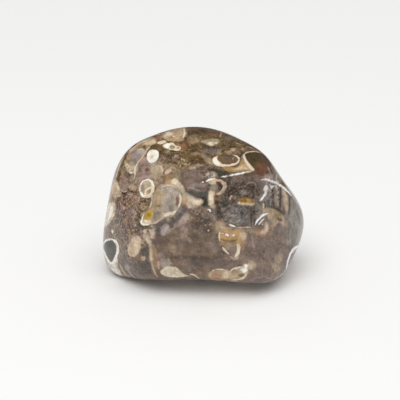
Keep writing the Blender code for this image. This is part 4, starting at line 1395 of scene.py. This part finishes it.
def fine_relief(points, sink, break_depth):
    """Height in millimetres of the fine breaks, and how deep in a crevice or on a lip each point is.

    The breaks are ledges, lips along bright edges, and the pit's stepped and splintered walls.
    """
    height = -sum(bowl_depth(points, *row[1:]) for row in FINE_BREAKS)
    picture = in_picture(points)
    front = unit(points) @ facing(0.0, CAMERA_RISE) > 0.1
    lines = {name: values[0] for name, kind, *values in MARKINGS if kind in (stroke, band)}
    for name, rise, half in LIPS:
        path = spline(lines[name], False)
        near = np.flatnonzero(front & (np.abs(picture - path.mean(0)).max(1) < np.ptp(path, axis=0).max()))
        gap, along = path_distance(picture[near], path, False)
        height[near] += rise * thinned(along, 1.0, 4) * hump(gap * FRONT_POINT, 0.0, half)
    pit = ease((sink - 0.35) / 0.7) * ease((unit(points) @ facing(*PIT_MIDDLE) - 0.80) / 0.06)
    ledge = ease(1.7 - np.hypot(*((picture - LEDGE_PLACE) / LEDGE_SIZE).T)) * front
    pit = pit * (1.0 - ledge)
    steps, crevice = broken_steps(points, pit)
    splinters = wobble(points * SPLINTER_STRETCH, *SPLINTER_NOISE)
    splinters = splinters + 0.6 * wobble(points, *FINE_SPLINTER_NOISE)
    return height + break_depth * (1.6 * steps + 0.6 * pit * splinters), crevice


def vertex_normals(points, quads):
    """Outward unit normals at the points: the sum of the crossed diagonals of the cells around each one."""
    a, b, c, d = (points[quads[:, i]] for i in range(4))
    facet = np.cross(c - a, d - b)
    total = np.zeros_like(points)
    for side in range(3):
        total[:, side] = np.bincount(
            quads.ravel(), weights=np.repeat(facet[:, side], 4), minlength=len(points))
    return unit(total)


def atlas(cells):
    """Texture coordinates of every cell corner: the cube's six faces in three columns and two rows."""
    rows, columns = np.meshgrid(np.arange(cells + 1), np.arange(cells + 1), indexing="ij")
    charts = []
    for face in range(6):
        u = (face % 3 + 3.0 * CHART_MARGIN + rows / cells * (1.0 - 6.0 * CHART_MARGIN)) / 3.0
        v = (face // 3 + 2.0 * CHART_MARGIN + columns / cells * (1.0 - 4.0 * CHART_MARGIN)) / 2.0
        chart = np.stack([u, v], -1)
        corners = (chart[:-1, :-1], chart[1:, :-1], chart[1:, 1:], chart[:-1, 1:])
        charts.append(np.stack(corners, 2).reshape(-1, 2))
    return np.concatenate(charts)


def write_values(mesh, name, values):
    """Store one number for each point of the mesh."""
    layer = mesh.attributes.new(name, "FLOAT", "POINT")
    layer.data.foreach_set("value", np.ascontiguousarray(values, np.float32))


def write_colours(mesh, name, colours):
    """Store one colour for each point of the mesh."""
    layer = mesh.attributes.new(name, "FLOAT_COLOR", "POINT")
    full = np.ones((len(colours), 4), np.float32)
    full[:, :3] = colours
    layer.data.foreach_set("color", full.ravel())


def painted_skin(points, normals, crevice, palette, seed):
    """The surface with its markings: the ground, the hidden sides, the shells and then the last stains."""
    skin = Skin(points, normals, palette)
    skin.value["crevice"] = crevice
    for _, kind, *values in GROUND_MARKINGS:
        kind(skin, *values)
    grow_hidden_side(skin, seed)
    for _, kind, *values in MARKINGS:
        kind(skin, *values)
    for _, *values in LAST_STAINS:
        stain(skin, *values)
    return skin


def stone_mesh(form, palette):
    """The stone's mesh with everything that the material needs stored on its points."""
    grid = cube_grid(form.cells)
    lattice, place = welded(grid)
    quads = cell_corners(place)
    rays = rays_from_cube(lattice, form.cells)
    points, sink = worn_points(rays)
    relief, crevice = fine_relief(points, sink, form.break_depth / MM)
    points = points + rays * relief[:, None]
    floor_level = -CORE_HEIGHT / MM
    points[:, 2] = np.maximum(points[:, 2], floor_level)
    skin = painted_skin(points, vertex_normals(points, quads), crevice, palette, form.seed)

    box = (points.min(0) + points.max(0)) / 2.0
    placed = (points - np.array([box[0], box[1], floor_level])) * MM
    mesh = bpy.data.meshes.new("stone_surface")
    mesh.from_pydata(placed, [], quads)
    mesh.polygons.foreach_set("use_smooth", np.ones(len(quads), bool))
    chart = mesh.uv_layers.new(name="OFBake")
    chart.data.foreach_set("uv", atlas(form.cells).astype(np.float32).ravel())
    for name, values in skin.value.items():
        write_values(mesh, name, values)
    for name, colours in skin.colour.items():
        write_colours(mesh, name + "_colour", colours)
    mesh.update()
    return mesh


# Materials
WHITE_LIGHT = (1.0, 1.0, 1.0, 1.0)

# Colours that the stone's material adds of its own, among them a painted shade and a painted highlight for
# the pit's steps
GRAIN = opaque(seen(184, 166, 142))          # pale grains and hoops of the speckled silica
PORE = opaque(seen(80, 66, 54))              # dark pores in it
WALL_SHADOW = opaque(seen(84, 70, 60))       # a faint dark line round the shell walls
# Partly wear and partly a painted highlight on the lips of the pit's steps
WORN_EDGE_AND_HIGHLIGHT = opaque(seen(200, 188, 174))      # lips of the pit's steps
# Painted shade in the feet of the pit's steps
CREVICE_SHADE = opaque((0.012, 0.010, 0.009))      # feet of the pit's steps

# Tints that multiply a colour
WARM_GROUND = opaque((1.04, 1.0, 0.83))
COOL_GROUND = opaque((0.96, 0.94, 1.12))
WARM_CUT = opaque((1.08, 1.0, 0.84))
COOL_CUT = opaque((0.92, 0.96, 1.08))
AGED_SHELL = opaque((0.87, 0.81, 0.73))
HUE_SWING = 0.6                              # how much of the warm and cool tints the cut shells take
BUMP_HEIGHT = 0.02 * MM


class Nodes:
    """A short way to add and join a material's nodes."""

    def __init__(self, tree):
        """Start with an empty tree."""
        self.tree = tree
        tree.nodes.clear()

    def put(self, node, name, value):
        """Set an input socket, given by name or number, or join it to an output."""
        if isinstance(value, bpy.types.NodeSocket):
            self.tree.links.new(value, node.inputs[name])
        else:
            node.inputs[name].default_value = value

    def add(self, kind, inputs=(), **settings):
        """Add a node, set its properties, and set or join its inputs."""
        node = self.tree.nodes.new(kind)
        for name, value in settings.items():
            setattr(node, name, value)
        for name, value in dict(inputs).items():
            self.put(node, name, value)
        return node

    def attribute(self, name, output="Fac"):
        """The value or colour stored on the surface under a name."""
        return self.add("ShaderNodeAttribute", attribute_name=name).outputs[output]

    def math(self, operation, *values):
        """A sum, product or other operation on numbers."""
        return self.add("ShaderNodeMath", enumerate(values), operation=operation).outputs[0]

    def scaled(self, value, times, plus):
        """A value times a number, plus a number."""
        return self.math("MULTIPLY_ADD", value, times, plus)

    def vectors(self, operation, *values):
        """A sum, product or other operation on vectors."""
        return self.add("ShaderNodeVectorMath", enumerate(values), operation=operation).outputs[0]

    def remap(self, value, low, high, start=0.0, end=1.0):
        """Carry a value smoothly from one range to another."""
        return self.add("ShaderNodeMapRange", {
            "Value": value, "From Min": low, "From Max": high, "To Min": start, "To Max": end,
        }, interpolation_type="SMOOTHSTEP").outputs[0]

    def swing(self, value, low, high):
        """Carry a value smoothly from a range to the one from -1 to 1."""
        return self.remap(value, low, high, -1.0, 1.0)

    def mix(self, share, first, second, blend="MIX"):
        """Mix two colours."""
        node = self.add("ShaderNodeMix", data_type="RGBA", blend_type=blend, clamp_factor=True)
        for place, value in ((0, share), (6, first), (7, second)):
            self.put(node, place, value)
        return node.outputs[2]

    def grey(self, value):
        """A colour whose three parts are one number."""
        return self.add("ShaderNodeCombineColor", {0: value, 1: value, 2: value}).outputs[0]

    def parts(self, shade):
        """The three parts of a colour."""
        return self.add("ShaderNodeSeparateColor", {0: shade}).outputs

    def fragments(self, where, scale):
        """Broken fragments: how far each place is from its fragment's middle, and a colour for each one."""
        return self.add("ShaderNodeTexVoronoi", {"Vector": where, "Scale": scale}).outputs


class AgateNodes(Nodes):
    """The stone's nodes, with the stored values and noises that several of its layers use."""

    def __init__(self, tree):
        """Measure in millimetres and add what the layers share."""
        super().__init__(tree)
        coordinates = self.add("ShaderNodeTexCoord").outputs["Object"]
        self.where = self.vectors("MULTIPLY", coordinates, (1.0 / MM,) * 3)
        self.speckle = self.attribute("speckle")
        self.rough = self.attribute("rough")
        drift = self.add("ShaderNodeTexNoise", {"Vector": self.where, "Scale": 0.8, "Detail": 3.0}).outputs[1]
        self.wavy = self.vectors("MULTIPLY_ADD", drift, (1.7,) * 3, self.where)
        self.large = self.parts(self.fragments(self.wavy, 0.5)[1])
        self.small = self.parts(self.fragments(self.wavy, 1.7)[1])
        self.lumps = self.noise(2.1, 3.0, 0.6)
        self.fine = self.noise(5.5, 2.0, 0.65)
        self.warm = self.remap(self.math("ADD", self.small[1], self.noise(0.9)), 0.7, 1.3)
        self.cool = self.remap(self.math("ADD", self.large[1], self.noise(2.1)), 0.9, 1.4)

    def noise(self, scale, detail=2.0, roughness=0.5):
        """Soft noise of a number of lumps in each millimetre."""
        return self.add("ShaderNodeTexNoise", {
            "Vector": self.where, "Scale": scale, "Detail": detail, "Roughness": roughness}).outputs[0]


def grains(n):
    """Shares of pale grains and hoops, and of dark pores, which all grow with the speckle."""
    seeds = n.fragments(n.wavy, 1.5)
    pale = n.math("MULTIPLY", n.remap(seeds[0], 0.36, 0.14), n.scaled(n.speckle, 0.7, 0.05))
    pale = n.math("MULTIPLY", pale, n.remap(n.parts(seeds[1])[2], 0.35, 0.75))
    shifted = n.vectors("ADD", n.wavy, (7.3, 2.9, 5.1))
    pores = n.fragments(shifted, 1.6)[0]
    dark = n.math("MULTIPLY", n.remap(pores, 0.42, 0.16), n.scaled(n.speckle, 0.5, 0.08))
    off_hoop = n.math("ABSOLUTE", n.math("SUBTRACT", n.fragments(shifted, 0.75)[0], 0.33))
    hoops = n.math("MULTIPLY", n.remap(off_hoop, 0.06, 0.02), n.remap(n.noise(0.7, 1.0), 0.48, 0.6))
    hoops = n.math("MULTIPLY", hoops, n.scaled(n.speckle, 0.4, 0.1))
    return n.math("MAXIMUM", pale, hoops), dark


def ground_layer(n):
    """Colour of the silica between the shells: clouds, fragments and lumps, stronger in its speckle."""
    gain = n.scaled(n.swing(n.noise(0.3), 0.3, 0.7), 0.12, 0.88)
    for value, low, high, plain, speckled in (
            (n.large[0], 0.0, 1.0, 0.10, 0.08),
            (n.small[0], 0.0, 1.0, 0.03, 0.28),
            (n.noise(0.8), 0.3, 0.7, 0.17, 0.08),
            (n.lumps, 0.3, 0.7, 0.05, 0.44),
            (n.fine, 0.28, 0.72, 0.03, 0.32)):
        gain = n.scaled(n.swing(value, low, high), n.scaled(n.speckle, speckled, plain), gain)
    gain = n.math("MAXIMUM", gain, 0.3)
    ground = n.mix(1.0, n.attribute("ground_colour", "Color"), n.grey(gain), "MULTIPLY")
    hue = n.scaled(n.speckle, 0.6, 0.3)
    ground = n.mix(n.math("MULTIPLY", n.warm, hue), ground, WARM_GROUND, "MULTIPLY")
    ground = n.mix(n.math("MULTIPLY", n.cool, hue), ground, COOL_GROUND, "MULTIPLY")
    pale, dark = grains(n)
    return n.mix(dark, n.mix(pale, ground, GRAIN), PORE)


def cut_layers(n, fill):
    """Colours of patches, fillings and walls, with clouds, lumps and faint bands along a filling's edge."""
    gain = n.remap(n.noise(0.7, 3.0, 0.6), 0.28, 0.72, 0.74, 1.2)
    gain = n.scaled(n.swing(n.lumps, 0.3, 0.7), 0.13, gain)
    gain = n.scaled(n.swing(n.fine, 0.28, 0.72), 0.13, gain)
    bands = n.scaled(n.math("SINE", n.math("MULTIPLY", fill, 13.0)), 0.06, 1.0)
    patches = n.mix(1.0, n.attribute("patch_colour", "Color"), n.grey(gain), "MULTIPLY")
    banded = n.grey(n.math("MULTIPLY", gain, bands))
    fillings = n.mix(1.0, n.attribute("fill_colour", "Color"), banded, "MULTIPLY")
    warm = n.math("MULTIPLY", n.warm, HUE_SWING)
    patches = n.mix(warm, patches, WARM_CUT, "MULTIPLY")
    fillings = n.mix(warm, fillings, WARM_CUT, "MULTIPLY")
    fillings = n.mix(n.math("MULTIPLY", n.cool, HUE_SWING), fillings, COOL_CUT, "MULTIPLY")
    aged = n.remap(n.math("ADD", n.noise(1.0), n.noise(4.0, 1.0)), 0.9, 1.25)
    walls = n.mix(aged, n.attribute("shell_colour", "Color"), AGED_SHELL, "MULTIPLY")
    return patches, fillings, walls


def polish(n, surface, wall_share):
    """Join a colour to the polish, which is duller on speckle and walls and rough and bumpy in the break."""
    dry = n.scaled(n.rough, 0.3, n.remap(n.speckle, 0.0, 1.0, 0.15, 0.2))
    dry = n.scaled(wall_share, 0.1, dry)
    relief = n.scaled(wall_share, 0.5, n.math("MULTIPLY", n.lumps, 0.25))
    relief = n.math("ADD", relief, n.math("MULTIPLY", n.fine, n.scaled(n.rough, 4.0, 0.1)))
    bump = n.add("ShaderNodeBump", {"Height": relief, "Strength": 1.0, "Distance": BUMP_HEIGHT}).outputs[0]
    shader = n.add("ShaderNodeBsdfPrincipled", {
        "Base Color": surface, "Roughness": dry, "IOR": 1.54, "Normal": bump})
    n.add("ShaderNodeOutputMaterial", {"Surface": shader.outputs[0]})


def polished_agate():
    """The polished stone: ground, mineral patches, chamber fillings and shell walls, one over the other.

    Each layer shows where its distance is below zero. The distances are shaken a little by fine noise, so
    that edges are sharp but not drawn with a ruler.
    """
    material = bpy.data.materials.new("polished_agate")
    material.use_nodes = True
    n = AgateNodes(material.node_tree)
    shake = n.math("ADD", n.scaled(n.noise(1.3), 0.26, -0.13), n.scaled(n.noise(5.0, 1.0), 0.14, -0.07))
    worn_away = n.remap(n.noise(0.75), 0.52, 0.72, 0.0, 0.1)
    shell = n.math("ADD", n.math("ADD", n.attribute("shell"), shake), worn_away)
    fill = n.math("ADD", n.attribute("fill"), shake)
    mineral = n.scaled(shake, 2.0, n.attribute("patch"))
    patches, fillings, walls = cut_layers(n, fill)

    wall_share = n.math("MULTIPLY", n.remap(shell, 0.09, -0.13), n.remap(n.noise(0.6), 0.3, 0.6, 0.8, 1.0))
    off_outline = n.math("ABSOLUTE", n.math("SUBTRACT", shell, 0.11))
    surface = n.mix(n.remap(mineral, 0.16, -0.2), ground_layer(n), patches)
    surface = n.mix(n.remap(fill, 0.12, -0.15), surface, fillings)
    surface = n.mix(n.math("MULTIPLY", n.remap(off_outline, 0.13, 0.0), 0.25), surface, WALL_SHADOW)
    surface = n.mix(wall_share, surface, walls)
    # Painted shade: near black in the feet of the pit's steps, weaker on the shell walls
    crevice = n.attribute("crevice")
    deep = n.math("MULTIPLY", n.math("MAXIMUM", crevice, 0.0), n.scaled(wall_share, -0.5, 0.65))
    surface = n.mix(deep, surface, CREVICE_SHADE)
    # Painted highlight, with wear: lighter on the lips of the pit's steps
    lip = n.math("MAXIMUM", n.math("MULTIPLY", crevice, -1.0), 0.0)
    surface = n.mix(n.math("MULTIPLY", lip, 0.5), surface, WORN_EDGE_AND_HIGHLIGHT)
    polish(n, surface, wall_share)
    return material


# The studio
KEY_ANGLE = 70.0                             # degrees of the sky that the key light fills
KEY_DIRECTION = (0.04, 0.45, -1.0)           # where it shines to
SOFT_BOX_PLACE = (-0.10, -0.24, 0.30)        # metres
SOFT_BOX_WIDTH = 0.14
CAMERA_CLIP = 0.01


def aimed(place, direction):
    """Matrix of a light or camera that stands at a place and faces a direction, upright."""
    return Matrix.Translation(place) @ Vector(direction).to_track_quat("-Z", "Y").to_matrix().to_4x4()


def lay_floor(scene, studio):
    """A square floor with a faint glow of its own."""
    half = studio.floor_size / 2.0
    corners = [(-half, -half, 0.0), (half, -half, 0.0), (half, half, 0.0), (-half, half, 0.0)]
    mesh = bpy.data.meshes.new("floor")
    mesh.from_pydata(corners, [], [(0, 1, 2, 3)])
    floor = bpy.data.objects.new("floor", mesh)
    scene.collection.objects.link(floor)
    material = bpy.data.materials.new("pale_floor")
    material.use_nodes = True
    n = Nodes(material.node_tree)
    shader = n.add("ShaderNodeBsdfPrincipled", {
        "Base Color": opaque(studio.floor), "Roughness": 0.7, "Specular IOR Level": 0.2,
        "Emission Color": WHITE_LIGHT, "Emission Strength": studio.floor_glow})
    n.add("ShaderNodeOutputMaterial", {"Surface": shader.outputs[0]})
    mesh.materials.append(material)


def spread_sky(scene, studio):
    """Even light from all round: one strength for the stone, one in the polish and one for the camera."""
    world = bpy.data.worlds.new("studio")
    world.use_nodes = True
    n = Nodes(world.node_tree)
    rays = n.add("ShaderNodeLightPath").outputs
    strength = n.scaled(rays["Is Glossy Ray"], studio.mirrored_sky - studio.sky, studio.sky)
    strength = n.scaled(rays["Is Camera Ray"], studio.backdrop - studio.sky, strength)
    background = n.add("ShaderNodeBackground", {"Color": WHITE_LIGHT, "Strength": strength})
    n.add("ShaderNodeOutputWorld", {"Surface": background.outputs[0]})
    scene.world = world


def hang_lights(scene, studio):
    """A wide soft light from above, which the polish doesn't mirror, and a soft box, which it does."""
    key = bpy.data.lights.new("key", "SUN")
    key.energy = studio.key
    key.angle = math.radians(KEY_ANGLE)
    lamp = bpy.data.objects.new("key", key)
    lamp.matrix_world = aimed((0.0, 0.0, 0.0), KEY_DIRECTION)
    lamp.visible_glossy = False
    scene.collection.objects.link(lamp)

    box = bpy.data.lights.new("soft_box", "AREA")
    box.size = SOFT_BOX_WIDTH
    box.energy = studio.glow
    lamp = bpy.data.objects.new("soft_box", box)
    lamp.matrix_world = aimed(SOFT_BOX_PLACE, Vector((0.0, 0.0, CORE_HEIGHT)) - Vector(SOFT_BOX_PLACE))
    scene.collection.objects.link(lamp)


def stand_camera(scene):
    """The camera of the front view, with the stone's core at its place in the picture."""
    camera_data = bpy.data.cameras.new("camera")
    camera_data.lens = LENS
    camera_data.sensor_width = SENSOR
    camera_data.shift_x = (PICTURE / 2.0 - PICTURE_CORE[0]) / PICTURE
    camera_data.shift_y = (PICTURE_CORE[1] - PICTURE / 2.0) / PICTURE
    camera_data.clip_start = CAMERA_CLIP
    camera = bpy.data.objects.new("camera", camera_data)
    back = Vector(facing(0.0, CAMERA_RISE))
    camera.matrix_world = aimed(Vector((0.0, 0.0, CORE_HEIGHT)) + back * CAMERA_AWAY, -back)
    scene.collection.objects.link(camera)
    scene.camera = camera
    scene.view_settings.view_transform = "Standard"


# Operators, panel and the run
class AGATE_OT_stone(bpy.types.Operator):
    """Build the tumbled stone with its shells and its polished material"""

    bl_idname = "agate.stone"
    bl_label = "Stone"

    def execute(self, context):
        """Make the mesh, give it its material and stand it for the solid."""
        scene = context.scene
        colours = scene.agate_colours
        palette = {name: np.array(getattr(colours, name)[:]) for name in AgateColours.__annotations__}
        piece = bpy.data.objects.new("turritella_stone", stone_mesh(scene.agate_form, palette))
        scene.collection.objects.link(piece)
        piece.data.materials.append(polished_agate())
        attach(piece, "root")
        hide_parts("stone")
        return {"FINISHED"}


class AGATE_OT_studio(bpy.types.Operator):
    """Build the floor, the light and the camera"""

    bl_idname = "agate.studio"
    bl_label = "Studio"

    def execute(self, context):
        """Lay the floor, light it softly and stand the camera in front."""
        scene = context.scene
        studio = scene.agate_studio
        lay_floor(scene, studio)
        spread_sky(scene, studio)
        hang_lights(scene, studio)
        stand_camera(scene)
        return {"FINISHED"}


class AGATE_PT_panel(bpy.types.Panel):
    """Sizes, colours and the steps of the build"""

    bl_idname = "AGATE_PT_panel"
    bl_label = "Turritella Agate"
    bl_space_type = "VIEW_3D"
    bl_region_type = "UI"
    bl_category = "Agate"

    def draw(self, context):
        """List the operators, and each group of settings under them."""
        layout = self.layout
        scene = context.scene
        layout.operator("agate.stone")
        layout.operator("agate.studio")
        for group in (scene.agate_form, scene.agate_colours, scene.agate_studio):
            box = layout.box()
            for name in type(group).__annotations__:
                box.prop(group, name)


CLASSES = (AgateColours, AgateForm, AgateStudio, AGATE_OT_stone, AGATE_OT_studio, AGATE_PT_panel)


def register():
    """Register the classes and give each scene its settings."""
    for kind in CLASSES:
        bpy.utils.register_class(kind)
    bpy.types.Scene.agate_colours = PointerProperty(type=AgateColours)
    bpy.types.Scene.agate_form = PointerProperty(type=AgateForm)
    bpy.types.Scene.agate_studio = PointerProperty(type=AgateStudio)


def unregister():
    """Take the settings and the classes away again."""
    del bpy.types.Scene.agate_studio
    del bpy.types.Scene.agate_form
    del bpy.types.Scene.agate_colours
    for kind in reversed(CLASSES):
        bpy.utils.unregister_class(kind)


def main():
    """Register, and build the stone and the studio."""
    register()
    bpy.ops.agate.stone()
    bpy.ops.agate.studio()


if __name__ == "__main__":
    main()
